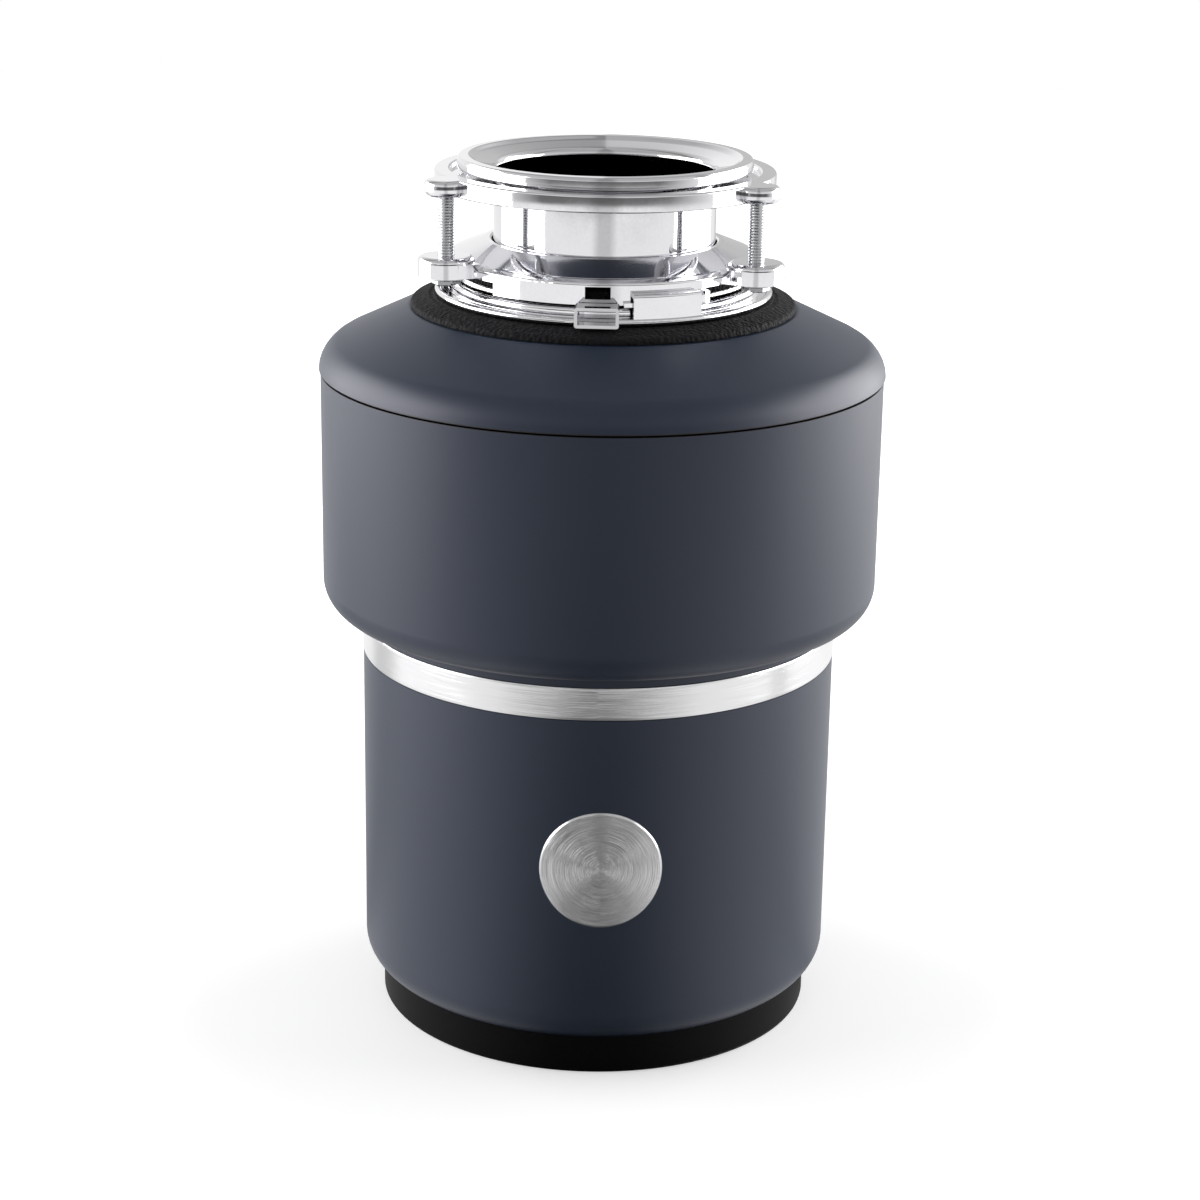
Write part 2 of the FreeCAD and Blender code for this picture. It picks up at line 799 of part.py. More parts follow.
def make_mid_shell():
    """Large painted shell with cut-outs at the back for the drain outlet and the inlet."""
    hole = can_radius - can_flange - can_flange_lap
    wall = shell_wall
    shell = turned([
        (hole, shell_bottom_z),
        (shell_radius, shell_bottom_z, shell_corner),
        (shell_radius, seam_z),
        (shell_radius - wall, seam_z),
        (shell_radius - wall, shell_bottom_z + wall, shell_corner - wall),
        (hole, shell_bottom_z + wall),
    ])
    window = outlet_outline(cutout_gap, 0, outlet_face_y + 10)
    port = Part.makeCylinder(inlet_collar_radius + inlet_hole_gap, inlet_reach,
                             Vector(0, 0, inlet_z), OUT)
    return shell.cut(window).cut(turned_to(port, inlet_azimuth))


def make_trim_band():
    """Thin brushed band let into the motor can."""
    return turned([
        (can_radius - band_thickness, band_bottom_z),
        (can_radius + band_proud, band_bottom_z, 0.1),
        (can_radius + band_proud, band_bottom_z + band_width, 0.1),
        (can_radius - band_thickness, band_bottom_z + band_width),
    ])


def make_lower_shell():
    """Painted motor can, rounded at the bottom, with a recess for the band."""
    can = turned([
        (can_radius - can_flange, can_top_z),
        (can_radius, can_top_z, 0.8),
        (can_radius, can_bottom_z, can_corner),
        (can_radius - 2 * can_corner, can_bottom_z),
        (can_radius - 2 * can_corner, can_bottom_z + can_wall),
        (can_radius - can_wall, can_bottom_z + can_wall, can_corner - can_wall),
        (can_radius - can_wall, can_top_z - can_wall, 0.8),
        (can_radius - can_flange, can_top_z - can_wall),
    ])
    opening = rod(base_radius + base_lip_gap, can_bottom_z - 1, can_bottom_z + can_corner)
    recess = tube(can_radius + 1, can_radius - band_thickness,
                  band_bottom_z, band_bottom_z + band_width)
    return can.cut(opening).cut(recess)


def make_badge():
    """Round badge, bare, curved to the can."""
    foot = Vector(can_radius - badge_radius, 0, badge_z)
    disc = Part.makeCylinder(badge_radius, 2 * badge_radius, foot, OUT)
    shell = tube(can_radius + badge_thickness, can_radius,
                 badge_z - badge_radius - 1, badge_z + badge_radius + 1)
    return turned_to(disc.common(shell), badge_azimuth)


def make_base_cover():
    """Black base cup: foot rim, raised floor with its service holes, wall inside the can."""
    wall_inner = base_radius - base_wall
    cup = turned([
        (0, base_floor_bottom_z),
        (base_radius - base_foot_width - base_foot_slope, base_floor_bottom_z, 1.5),
        (base_radius - base_foot_width, 0, 1.0),
        (base_radius, 0, 1.6),
        (base_radius, base_height),
        (wall_inner, base_height),
        (wall_inner, base_floor_z, 3.0),
        (0, base_floor_z),
    ])
    boss = rod(cable_hole_radius + cable_boss_wall, base_floor_bottom_z,
               base_floor_z + cable_boss_height, cable_hole_x, cable_hole_y)
    half_x = cover_plate_width / 2 - cover_plate_lap
    half_y = cover_plate_depth / 2 - cover_plate_lap
    wiring = block(cover_plate_x - half_x, cover_plate_x + half_x,
                   cover_plate_y - half_y, cover_plate_y + half_y, 0, base_floor_z + 1)
    rebate = cover_plate_block(cover_plate_gap, base_floor_bottom_z - 1,
                               base_floor_bottom_z + cover_plate_thickness)
    cuts = [
        rod(wrench_hole, -1, base_floor_z + 1),
        rod(button_radius + button_clearance, -1, base_floor_z + 1, switch_x, switch_y),
        rod(cable_hole_radius, -1, base_floor_z + cable_boss_height + 1,
            cable_hole_x, cable_hole_y),
        wiring,
        rebate,
    ]
    for azimuth in evenly(post_count, post_azimuth):
        spot = around(azimuth, post_circle)
        cuts.append(rod(base_screw_radius + screw_clearance, -1, base_floor_z + 1, spot.x, spot.y))
    return fused([cup, boss]).cut(Part.makeCompound(cuts))


def cover_plate_block(grow, z_low, z_high):
    """Outline of the wiring cover plate, grown by a clearance."""
    half_x = cover_plate_width / 2 + grow
    half_y = cover_plate_depth / 2 + grow
    plate = block(cover_plate_x - half_x, cover_plate_x + half_x,
                  cover_plate_y - half_y, cover_plate_y + half_y, z_low, z_high)
    corners = [e for e in plate.Edges if e.BoundBox.ZLength > (z_high - z_low) / 2]
    return plate.makeFillet(cover_plate_corner, corners)


def make_terminal_cover():
    """Steel plate over the wiring pocket."""
    plate = cover_plate_block(0.0, base_floor_bottom_z, base_floor_bottom_z + cover_plate_thickness)
    half_x = cover_plate_width / 2 - cover_plate_lap - cover_plate_key
    half_y = cover_plate_depth / 2 - cover_plate_lap - cover_plate_key
    key = block(cover_plate_x - half_x, cover_plate_x + half_x,
                cover_plate_y - half_y, cover_plate_y + half_y,
                base_floor_bottom_z, base_floor_bottom_z + 2 * cover_plate_thickness)
    return fused([plate, key])


def make_hopper():
    """Drawn stainless chamber with a rolled neck lip and a bolted bottom flange."""
    wall = hopper_wall
    chamber = turned([
        (neck_radius, neck_lip_top_z),
        (neck_radius, neck_root_z, neck_fillet),
        (hopper_radius, shoulder_z, hopper_fillet),
        (hopper_radius, hopper_bottom_z),
        (hopper_outer + hopper_flange, hopper_bottom_z),
        (hopper_outer + hopper_flange, hopper_bottom_z + wall),
        (hopper_outer, hopper_bottom_z + wall, 1.5),
        (hopper_outer, shoulder_z + wall * 0.7, hopper_fillet + wall),
        (neck_outer, neck_root_z + wall * 0.7, neck_fillet - wall),
        (neck_outer, neck_lip_z, 0.8),
        (neck_lip_radius, neck_lip_z, 0.6),
        (neck_lip_radius, neck_lip_top_z, 0.6),
    ])
    port = Part.makeCylinder(inlet_bore, inlet_reach, Vector(0, 0, inlet_z), OUT)
    holes = []
    for spot in flange_screw_spots():
        holes.append(rod(flange_screw_radius + screw_clearance, hopper_bottom_z,
                         hopper_bottom_z + wall, spot.x, spot.y))
    return chamber.cut(turned_to(port, inlet_azimuth)).cut(Part.makeCompound(holes))


def flange_screw_spots():
    """Screws that hold the chamber down on the drain housing."""
    circle = hopper_outer + hopper_flange / 2 + flange_screw_shift
    return [around(azimuth, circle) for azimuth in evenly(flange_screw_count, flange_screw_azimuth)]


def make_hopper_screws():
    """Six screws through the chamber's bottom flange."""
    top = hopper_bottom_z + hopper_wall
    solids = []
    for spot in flange_screw_spots():
        solids.append(fused([
            rod(flange_screw_radius, top - flange_screw_length, top, spot.x, spot.y),
            rod(flange_screw_head, top, top + flange_screw_head_height, spot.x, spot.y),
        ]))
    return Part.makeCompound(solids)


def make_chamber_liner():
    """Foam sound liner between the chamber and the large shell."""
    bottom = hopper_bottom_z + liner_rise
    top = seam_z - liner_drop
    liner = turned([
        (hopper_outer + liner_gap, bottom, 1.0),
        (liner_radius, bottom, 3.0),
        (liner_radius, top, 3.0),
        (hopper_outer + liner_gap, top, 1.0),
    ])
    port = Part.makeCylinder(inlet_collar_radius + inlet_hole_gap, inlet_reach,
                             Vector(0, 0, inlet_z), OUT)
    return liner.cut(turned_to(port, inlet_azimuth))


def make_inlet():
    """Dishwasher spigot on the chamber's wall."""
    root = hopper_outer - 0.2
    length = inlet_reach - root
    body = turned([
        (inlet_bore, 0),
        (inlet_collar_radius, 0),
        (inlet_collar_radius, inlet_collar_length, 1.0),
        (inlet_radius, inlet_collar_length, 0.8),
        (inlet_radius, length, 0.8),
        (inlet_bore, length),
    ])
    body.rotate(ORIGIN, BACK, 90)
    body.translate(Vector(root, 0, inlet_z))
    body = body.cut(rod(hopper_outer, inlet_z - 2 * inlet_radius, inlet_z + 2 * inlet_radius))
    return turned_to(body, inlet_azimuth)


def make_grind_ring():
    """Fixed grinding ring: inner ribs over its height and drain slots along its lower edge."""
    bottom = hopper_bottom_z
    top = bottom + grind_ring_height
    ring = turned([
        (grind_ring_inner, bottom),
        (grind_ring_inner, top, 1.0),
        (hopper_radius, top),
        (hopper_radius, bottom),
    ])
    step = 360.0 / grind_ring_slots
    slot = block(grind_ring_inner - 1, hopper_radius - grind_slot_wall,
                 -grind_slot_width / 2, grind_slot_width / 2, bottom - 1, bottom + grind_slot_height)
    rib_bottom = bottom + grind_slot_height + grind_rib_margin
    rib_top = top - grind_rib_margin
    rib = Part.makeCone(grind_rib_radius, grind_rib_radius * 0.6, rib_top - rib_bottom,
                        Vector(grind_ring_inner, 0, rib_bottom), UP)
    ribs = pattern(rib, evenly(grind_ring_slots // 2, step / 2))
    ring = fused([ring] + ribs).common(rod(hopper_radius, bottom - 1, top + 1))
    return ring.cut(Part.makeCompound(pattern(slot, evenly(grind_ring_slots))))


def lug_pivots():
    """Swivel lug pivots, opposite each other."""
    return [Vector(side * lug_pivot_circle, 0, 0) for side in (1, -1)]


def make_shredder_plate():
    """Turntable with a toothed rim, drain holes and a keyed hub below."""
    hub_bottom = table_bottom_z - table_hub_depth
    plate = turned([
        (shaft_radius, hub_bottom),
        (table_hub_radius, hub_bottom, 1.5),
        (table_hub_radius, table_bottom_z, 3.0),
        (table_radius, table_bottom_z),
        (table_radius, table_top_z, 0.6),
        (shaft_radius, table_top_z),
    ])
    bite = rod(table_tooth_depth, table_bottom_z - 1, table_top_z + 1, table_radius + 0.3, 0)
    hole = rod(table_hole_radius, table_bottom_z - 1, table_top_z + 1, table_hole_circle, 0)
    small = rod(table_small_hole_radius, table_bottom_z - 1, table_top_z + 1,
                table_radius - table_small_hole_inset, 0)
    cuts = pattern(bite, evenly(table_teeth))
    cuts += pattern(hole, evenly(table_holes, table_hole_azimuth))
    cuts += pattern(small, evenly(2 * table_holes, table_small_hole_azimuth))
    for pivot in lug_pivots():
        cuts.append(rod(pin_radius - pin_step, table_bottom_z - 1, table_top_z + 1,
                        pivot.x, pivot.y))
    return plate.cut(Part.makeCompound(cuts))


def make_lug_pins():
    """Two shouldered rivets that the lugs swivel on."""
    head_bottom = swivel_top_z + swivel_gap
    neck = pin_radius - pin_step
    rivet_z = table_bottom_z - pin_rivet
    solids = []
    for pivot in lug_pivots():
        pin = turned([
            (0, rivet_z),
            (pin_radius + 0.5, rivet_z, 0.8),
            (pin_radius + 0.5, table_bottom_z),
            (neck, table_bottom_z),
            (neck, table_top_z),
            (pin_radius, table_top_z),
            (pin_radius, head_bottom),
            (pin_head_radius, head_bottom),
            (pin_head_radius, head_bottom + pin_head_thickness, 1.4),
            (0, head_bottom + pin_head_thickness),
        ])
        pin.translate(pivot)
        solids.append(pin)
    return Part.makeCompound(solids)


def make_swivel_lug(pivot):
    """Cast swivel lug: a low body, a tall nose that strikes the waste and a boss round the pin."""
    shoulder_x = swivel_tip * 0.76
    shoulder_y = swivel_half_width * 0.82
    left = Vector(0, swivel_half_width, 0)
    right = Vector(0, -swivel_half_width, 0)
    near = Vector(shoulder_x, -shoulder_y, 0)
    far = Vector(shoulder_x, shoulder_y, 0)
    outline = Part.Wire([
        Part.Arc(left, Vector(-swivel_tail, 0, 0), right).toShape(),
        Part.makeLine(right, near),
        Part.Arc(near, Vector(swivel_tip, 0, 0), far).toShape(),
        Part.makeLine(far, left),
    ])
    body = Part.Face(outline).extrude(Vector(0, 0, swivel_body_height))
    nose = Part.Face(outline).extrude(Vector(0, 0, swivel_thickness))
    nose = nose.common(block(swivel_tip * 0.45, swivel_tip + 1, -swivel_tip, swivel_tip,
                             0, swivel_thickness + 1))
    nose = nose.makeFillet(1.2, level_edges(nose, swivel_thickness))
    boss = rod(pin_head_radius, 0, swivel_thickness)
    lug = fused([body, nose, boss])
    lug = lug.cut(rod(pin_radius + pin_clearance, -1, swivel_thickness + 1))
    if pivot.x < 0:
        lug.rotate(ORIGIN, UP, 180)
    lug.translate(pivot + Vector(0, 0, swivel_bottom_z))
    return lug


def make_table_nut():
    """Domed nut that holds the turntable on the shaft."""
    top = table_top_z + table_nut_height
    nut = hexagon(table_nut_flats, table_top_z, top)
    dome = turned([
        (0, table_top_z),
        (table_nut_flats, table_top_z),
        (table_nut_flats * 0.42, top + table_nut_dome, 2.0),
        (0, top + table_nut_dome),
    ])
    return nut.common(dome).cut(rod(shaft_radius - thread_step, table_top_z, top - 1))


def make_drain_housing():
    """Cast upper end bell: drain trough, outlet boss, bearing hub and bolt bosses."""
    outer = hopper_outer + hopper_flange
    floor_bottom = drain_floor_z - drain_wall
    bearing_bottom = upper_bearing_z
    body = turned([
        (bearing_radius, bearing_bottom),
        (drain_hub_radius - 4, bearing_bottom, 1.0),
        (drain_hub_radius - 4, floor_bottom, 3.0),
        (outer - 1.5, floor_bottom, 6.0),
        (outer, hopper_bottom_z),
        (hopper_radius - ring_ledge, hopper_bottom_z),
        (hopper_radius - ring_ledge - 1.5, drain_floor_z, 8.0),
        (drain_hub_radius + 1.0, drain_floor_z, 6.0),
        (drain_hub_radius - 3.0, drain_hub_top_z, 2.0),
        (seal_radius, drain_hub_top_z),
        (seal_radius, drain_hub_top_z - seal_height),
        (bearing_radius, drain_hub_top_z - seal_height),
    ])
    boss = outlet_outline(0, hopper_radius - outlet_boss_root, outlet_face_y)
    boss = boss.cut(rod(hopper_radius - 0.5, floor_bottom + 1.0, outlet_z + outlet_half_height))
    column = rod(bolt_boss, core_top_z, floor_bottom + 2, bolt_circle, 0)
    columns = pattern(column, evenly(bolt_count, bolt_azimuth))
    passage = Part.makeCylinder(outlet_radius, outlet_face_y,
                                Vector(0, hopper_radius / 2, outlet_z), BACK)
    keep = rod(2 * outlet_face_y, drain_floor_z + 0.5, hopper_bottom_z)
    above = rod(outer, hopper_bottom_z, hopper_bottom_z + outlet_half_height)
    cuts = [passage.common(keep), above]
    for side in (-1, 1):
        foot = Vector(side * outlet_bolt_spacing / 2, outlet_face_y - outlet_bolt_depth, outlet_z)
        cuts.append(Part.makeCylinder(outlet_bolt_radius, outlet_bolt_depth, foot, BACK))
    bolt_hole = rod(bolt_radius, core_top_z, floor_bottom - bolt_cover, bolt_circle, 0)
    cuts += pattern(bolt_hole, evenly(bolt_count, bolt_azimuth))
    for spot in flange_screw_spots():
        cuts.append(rod(flange_screw_radius, hopper_bottom_z - flange_screw_length,
                        hopper_bottom_z, spot.x, spot.y))
    cuts.append(Part.makeCylinder(outlet_radius, outlet_face_y,
                                  Vector(0, hopper_radius - outlet_mouth, outlet_z), BACK))
    return fused([body, boss] + columns).cut(Part.makeCompound(cuts))


def make_shaft_seal():
    """Rubber lip seal over the upper bearing."""
    return turned([
        (shaft_radius + shaft_clearance, drain_hub_top_z - seal_height),
        (seal_radius, drain_hub_top_z - seal_height),
        (seal_radius, drain_hub_top_z),
        (shaft_radius + 2.0, drain_hub_top_z),
        (shaft_radius + shaft_clearance, drain_hub_top_z - 2.5),
    ])


def make_bearing(bottom, length):
    """Bronze sleeve bearing with a shaft clearance."""
    return turned([
        (shaft_radius + shaft_clearance, bottom),
        (bearing_radius, bottom, 0.8),
        (bearing_radius, bottom + length, 0.8),
        (shaft_radius + shaft_clearance, bottom + length),
    ])


def make_rotor_shaft():
    """Motor shaft with a threaded end above and a hex socket for the freeing wrench below."""
    top = table_top_z + table_nut_height - shaft_end_drop
    shaft = turned([
        (0, shaft_bottom_z),
        (shaft_radius, shaft_bottom_z, 1.0),
        (shaft_radius, table_top_z),
        (shaft_radius - thread_step, table_top_z),
        (shaft_radius - thread_step, top, 0.8),
        (0, top),
    ])
    socket = hexagon(wrench_flats, shaft_bottom_z - 1, shaft_bottom_z + wrench_depth)
    return shaft.cut(socket)


def make_rotor_cage():
    """Die-cast end rings with fan blades, one ring at each end of the rotor core."""
    solids = []
    outer = rotor_radius - cage_inset
    for core_end, way in ((core_top_z, 1), (core_bottom_z, -1)):
        ring_end = core_end + way * cage_ring_height
        blade_end = ring_end + way * fan_blade_height
        ring = tube(outer, cage_inner, min(core_end, ring_end), max(core_end, ring_end))
        blade = block(cage_inner + cage_inset, outer - cage_inset,
                      -fan_blade_thickness / 2, fan_blade_thickness / 2,
                      min(core_end, blade_end), max(core_end, blade_end))
        solids.append(fused([ring] + pattern(blade, evenly(fan_blades))))
    return Part.makeCompound(solids)


def make_stator_core():
    """Laminated stack with slots that open to the rotor bore."""
    core = tube(stator_radius, rotor_radius + air_gap, core_bottom_z, core_top_z)
    pocket = block(slot_inner_radius, slot_inner_radius + slot_depth,
                   -slot_width / 2, slot_width / 2, core_bottom_z - 1, core_top_z + 1)
    mouth = block(rotor_radius - 1, slot_inner_radius + 1, -slot_mouth / 2, slot_mouth / 2,
                  core_bottom_z - 1, core_top_z + 1)
    slot = fused([pocket, mouth])
    return core.cut(Part.makeCompound(pattern(slot, evenly(stator_slots))))


def make_stator_windings():
    """Coil ends at both faces of the stator core."""
    solids = []
    rounding = 0.4 * (winding_outer - winding_inner)
    for core_end, way in ((core_top_z, 1), (core_bottom_z, -1)):
        far = core_end + way * winding_height
        corners = [
            (winding_inner, core_end),
            (winding_inner, far, rounding),
            (winding_outer, far, rounding),
            (winding_outer, core_end),
        ]
        solids.append(turned(corners))
    return Part.makeCompound(solids)


def make_lower_end_frame():
    """Cast lower end bell: bearing hub, spokes, bolt lugs and posts for the base."""
    top = end_frame_z + end_frame_thickness
    hub = turned([
        (bearing_radius, lower_bearing_z),
        (end_frame_hub, lower_bearing_z, 1.5),
        (end_frame_hub, end_frame_z, 2.0),
        (end_frame_radius, end_frame_z, 2.0),
        (end_frame_radius, top),
        (end_frame_hub - 1.0, top),
        (end_frame_hub - 3.0, lower_bearing_z + lower_bearing_length),
        (bearing_radius, lower_bearing_z + lower_bearing_length),
    ])
    rim = tube(end_frame_radius, stator_radius - end_frame_lap, top - 1, core_bottom_z)
    window = turned([
        (window_inner, end_frame_z - 1),
        (end_frame_radius - window_rim, end_frame_z - 1),
        (end_frame_radius - window_rim, top + 1),
        (window_inner, top + 1),
    ], -window_angle / 2, window_angle)
    lug = rod(bolt_boss, end_frame_z, end_frame_z + bolt_boss_height, bolt_circle, 0)
    lugs = pattern(lug, evenly(bolt_count, bolt_azimuth))
    post = rod(post_radius, base_floor_z, end_frame_z + 1, post_circle, 0)
    posts = pattern(post, evenly(post_count, post_azimuth))
    frame = fused([hub, rim] + lugs + posts)
    cuts = pattern(window, evenly(bolt_count, 0))
    bolt_hole = rod(bolt_radius, end_frame_z, core_bottom_z, bolt_circle, 0)
    cuts += pattern(bolt_hole, evenly(bolt_count, bolt_azimuth))
    for azimuth in evenly(post_count, post_azimuth):
        spot = around(azimuth, post_circle)
        cuts.append(rod(base_screw_radius, base_floor_z, base_floor_z + base_screw_length,
                        spot.x, spot.y))
    return frame.cut(Part.makeCompound(cuts))


def make_through_bolts():
    """Four bolts that clamp the stator between the two end bells."""
    solids = []
    top = drain_floor_z - drain_wall - 2 * bolt_cover
    for azimuth in evenly(bolt_count, bolt_azimuth):
        spot = around(azimuth, bolt_circle)
        solids.append(fused([
            rod(bolt_radius, end_frame_z, top, spot.x, spot.y),
            hexagon(bolt_head_flats, end_frame_z - bolt_head_height, end_frame_z, spot.x, spot.y),
        ]))
    return Part.makeCompound(solids)


def make_base_screws():
    """Three screws from below that hold the base to the posts."""
    solids = []
    head_z = base_floor_bottom_z - base_screw_head_height
    for azimuth in evenly(post_count, post_azimuth):
        spot = around(azimuth, post_circle)
        head = turned([
            (0, head_z),
            (base_screw_head, head_z, 1.2),
            (base_screw_head, base_floor_bottom_z),
            (0, base_floor_bottom_z),
        ])
        head.translate(spot)
        shank = rod(base_screw_radius, base_floor_bottom_z, base_floor_z + base_screw_length - 2,
                    spot.x, spot.y)
        solids.append(fused([head, shank]))
    return Part.makeCompound(solids)


def make_overload_switch():
    """Overload switch body over the base floor, with a bore for the reset button."""
    low = base_floor_z
    body = block(switch_x - switch_width / 2, switch_x + switch_width / 2,
                 switch_y - switch_depth / 2, switch_y + switch_depth / 2, low, low + switch_height)
    body = body.makeFillet(2.0, [e for e in body.Edges if e.BoundBox.ZLength > 1])
    pocket_top = low + button_head + button_travel + switch_pocket_spare
    bore = rod(button_radius + button_collar + button_clearance, low - 1, pocket_top,
               switch_x, switch_y)
    return body.cut(bore)


def make_reset_button():
    """Red reset button: a cap below the base floor and a collar inside the switch."""
    cap_low = base_floor_bottom_z - button_proud
    collar_low = base_floor_z + button_clearance
    button = turned([
        (0, cap_low),
        (button_radius, cap_low, 1.2),
        (button_radius, collar_low),
        (button_radius + button_collar, collar_low),
        (button_radius + button_collar, collar_low + button_head),
        (0, collar_low + button_head),
    ])
    button.translate(Vector(switch_x, switch_y, 0))
    return button


def make_can_liner():
    """Foam liner between the motor and the can."""
    return tube(can_liner_radius, can_liner_radius - can_liner_thickness,
                can_bottom_z + can_liner_rise, can_top_z - can_liner_drop)


pivots = lug_pivots()
nodes = {
    "sink_flange": make_sink_flange(),
    "snap_ring": make_snap_ring(),
    "backup_flange": make_backup_flange(),
    "mounting_screws": make_mounting_screws(),
    "mounting_ring": make_mounting_ring(),
    "lock_ring": make_lock_ring(),
    "mounting_gasket": make_mounting_gasket(),
    "isolation_collar": make_isolation_collar(),
    "upper_cover": make_upper_cover(),
    "mid_shell": make_mid_shell(),
    "trim_band": make_trim_band(),
    "lower_shell": make_lower_shell(),
    "badge": make_badge(),
    "base_cover": make_base_cover(),
    "terminal_cover": make_terminal_cover(),
    "hopper": make_hopper(),
    "hopper_screws": make_hopper_screws(),
    "chamber_liner": make_chamber_liner(),
    "dishwasher_inlet": make_inlet(),
    "grind_ring": make_grind_ring(),
    "shredder_plate": make_shredder_plate(),
    "lug_pins": make_lug_pins(),
    "swivel_lug_1": make_swivel_lug(pivots[0]),
    "swivel_lug_2": make_swivel_lug(pivots[1]),
    "plate_nut": make_table_nut(),
    "drain_housing": make_drain_housing(),
    "shaft_seal": make_shaft_seal(),
    "upper_bearing": make_bearing(upper_bearing_z, upper_bearing_length),
    "rotor_shaft": make_rotor_shaft(),
    "rotor_core": tube(rotor_radius, shaft_radius, core_bottom_z, core_top_z),
    "rotor_cage": make_rotor_cage(),
    "stator_core": make_stator_core(),
    "stator_windings": make_stator_windings(),
    "lower_end_frame": make_lower_end_frame(),
    "lower_bearing": make_bearing(lower_bearing_z, lower_bearing_length),
    "through_bolts": make_through_bolts(),
    "base_screws": make_base_screws(),
    "overload_switch": make_overload_switch(),
    "reset_button": make_reset_button(),
    "can_liner": make_can_liner(),
}

os.makedirs("parts", exist_ok=True)
for name, shape in nodes.items():
    shape.exportStep("parts/" + name + ".step")
    print(name, "solids", len(shape.Solids), "volume", round(shape.Volume), "valid", shape.isValid())
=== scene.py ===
"""Under-sink waste disposer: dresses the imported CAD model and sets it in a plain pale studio."""

import json
import logging
import math
from contextlib import contextmanager
from dataclasses import dataclass
from enum import Enum
from typing import Any, Callable, Iterator, Sequence, Union

import bmesh
import bpy
from mathutils import Matrix, Vector


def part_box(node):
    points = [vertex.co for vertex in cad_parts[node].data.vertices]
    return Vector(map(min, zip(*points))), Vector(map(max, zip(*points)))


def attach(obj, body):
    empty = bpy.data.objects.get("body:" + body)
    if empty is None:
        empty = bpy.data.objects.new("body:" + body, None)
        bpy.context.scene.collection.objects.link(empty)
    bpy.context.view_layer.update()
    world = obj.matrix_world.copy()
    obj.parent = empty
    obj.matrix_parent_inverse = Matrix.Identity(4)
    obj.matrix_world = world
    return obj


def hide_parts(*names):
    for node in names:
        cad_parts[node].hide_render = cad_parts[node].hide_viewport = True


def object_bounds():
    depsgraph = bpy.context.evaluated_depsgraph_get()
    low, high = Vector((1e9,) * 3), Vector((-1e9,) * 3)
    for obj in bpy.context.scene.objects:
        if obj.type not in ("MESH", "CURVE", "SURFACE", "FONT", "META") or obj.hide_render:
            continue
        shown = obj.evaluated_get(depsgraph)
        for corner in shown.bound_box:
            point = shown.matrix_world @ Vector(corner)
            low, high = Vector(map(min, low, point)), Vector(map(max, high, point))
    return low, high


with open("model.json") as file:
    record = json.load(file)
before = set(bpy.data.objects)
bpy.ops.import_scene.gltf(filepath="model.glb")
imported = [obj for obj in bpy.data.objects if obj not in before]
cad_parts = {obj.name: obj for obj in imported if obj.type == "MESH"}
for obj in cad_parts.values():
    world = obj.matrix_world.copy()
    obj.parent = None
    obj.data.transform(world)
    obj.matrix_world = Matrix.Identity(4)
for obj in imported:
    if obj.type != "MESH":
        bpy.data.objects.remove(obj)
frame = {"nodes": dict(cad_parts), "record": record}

CAD_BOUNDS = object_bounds()
LOG = logging.getLogger("disposer")
MM = 0.001
Number = Union["Value", float, int]
Colour = tuple[float, float, float]
Corner = tuple[float, ...]


class Value:
    """A number socket. Python operators on it add Math nodes."""

    def __init__(self, graph: "Graph", socket: bpy.types.NodeSocket) -> None:
        """Wraps a socket.

        Args:
            graph: The material's node graph.
            socket: The output socket that holds the number.
        """
        self.graph = graph
        self.socket = socket

    def maths(self, operation: str, *others: Number) -> "Value":
        """Adds one Math node.

        Args:
            operation: The Math node's operation.
            others: The second and third inputs.

        Returns:
            The node's result.
        """
        values = {index: item for index, item in enumerate((self,) + others)}
        node = self.graph.node("ShaderNodeMath", {"operation": operation}, values)
        return Value(self.graph, node.outputs[0])

    def flipped(self, operation: str, other: Number) -> "Value":
        """Adds one Math node with this number second.

        Args:
            operation: The Math node's operation.
            other: The first input.

        Returns:
            The node's result.
        """
        node = self.graph.node("ShaderNodeMath", {"operation": operation}, {0: other, 1: self})
        return Value(self.graph, node.outputs[0])

    def __add__(self, other: Number) -> "Value":
        """Sum."""
        return self.maths("ADD", other)

    def __radd__(self, other: Number) -> "Value":
        """Sum with a plain number in front."""
        return self.maths("ADD", other)

    def __sub__(self, other: Number) -> "Value":
        """Difference."""
        return self.maths("SUBTRACT", other)

    def __rsub__(self, other: Number) -> "Value":
        """Difference with a plain number in front."""
        return self.flipped("SUBTRACT", other)

    def __mul__(self, other: Number) -> "Value":
        """Product."""
        return self.maths("MULTIPLY", other)

    def __rmul__(self, other: Number) -> "Value":
        """Product with a plain number in front."""
        return self.maths("MULTIPLY", other)

    def __truediv__(self, other: Number) -> "Value":
        """Quotient."""
        return self.maths("DIVIDE", other)

    def __rtruediv__(self, other: Number) -> "Value":
        """Quotient with a plain number in front."""
        return self.flipped("DIVIDE", other)

    def __pow__(self, other: Number) -> "Value":
        """Power."""
        return self.maths("POWER", other)

    def ramp(self, low: float, high: float) -> "Value":
        """Goes from 0 at one value to 1 at another, and stays within them.

        Args:
            low: The value that gives 0.
            high: The value that gives 1.

        Returns:
            The clamped share.
        """
        settings = {"clamp": True}
        node = self.graph.node("ShaderNodeMapRange", settings, {0: self, 1: low, 2: high})
        return Value(self.graph, node.outputs[0])


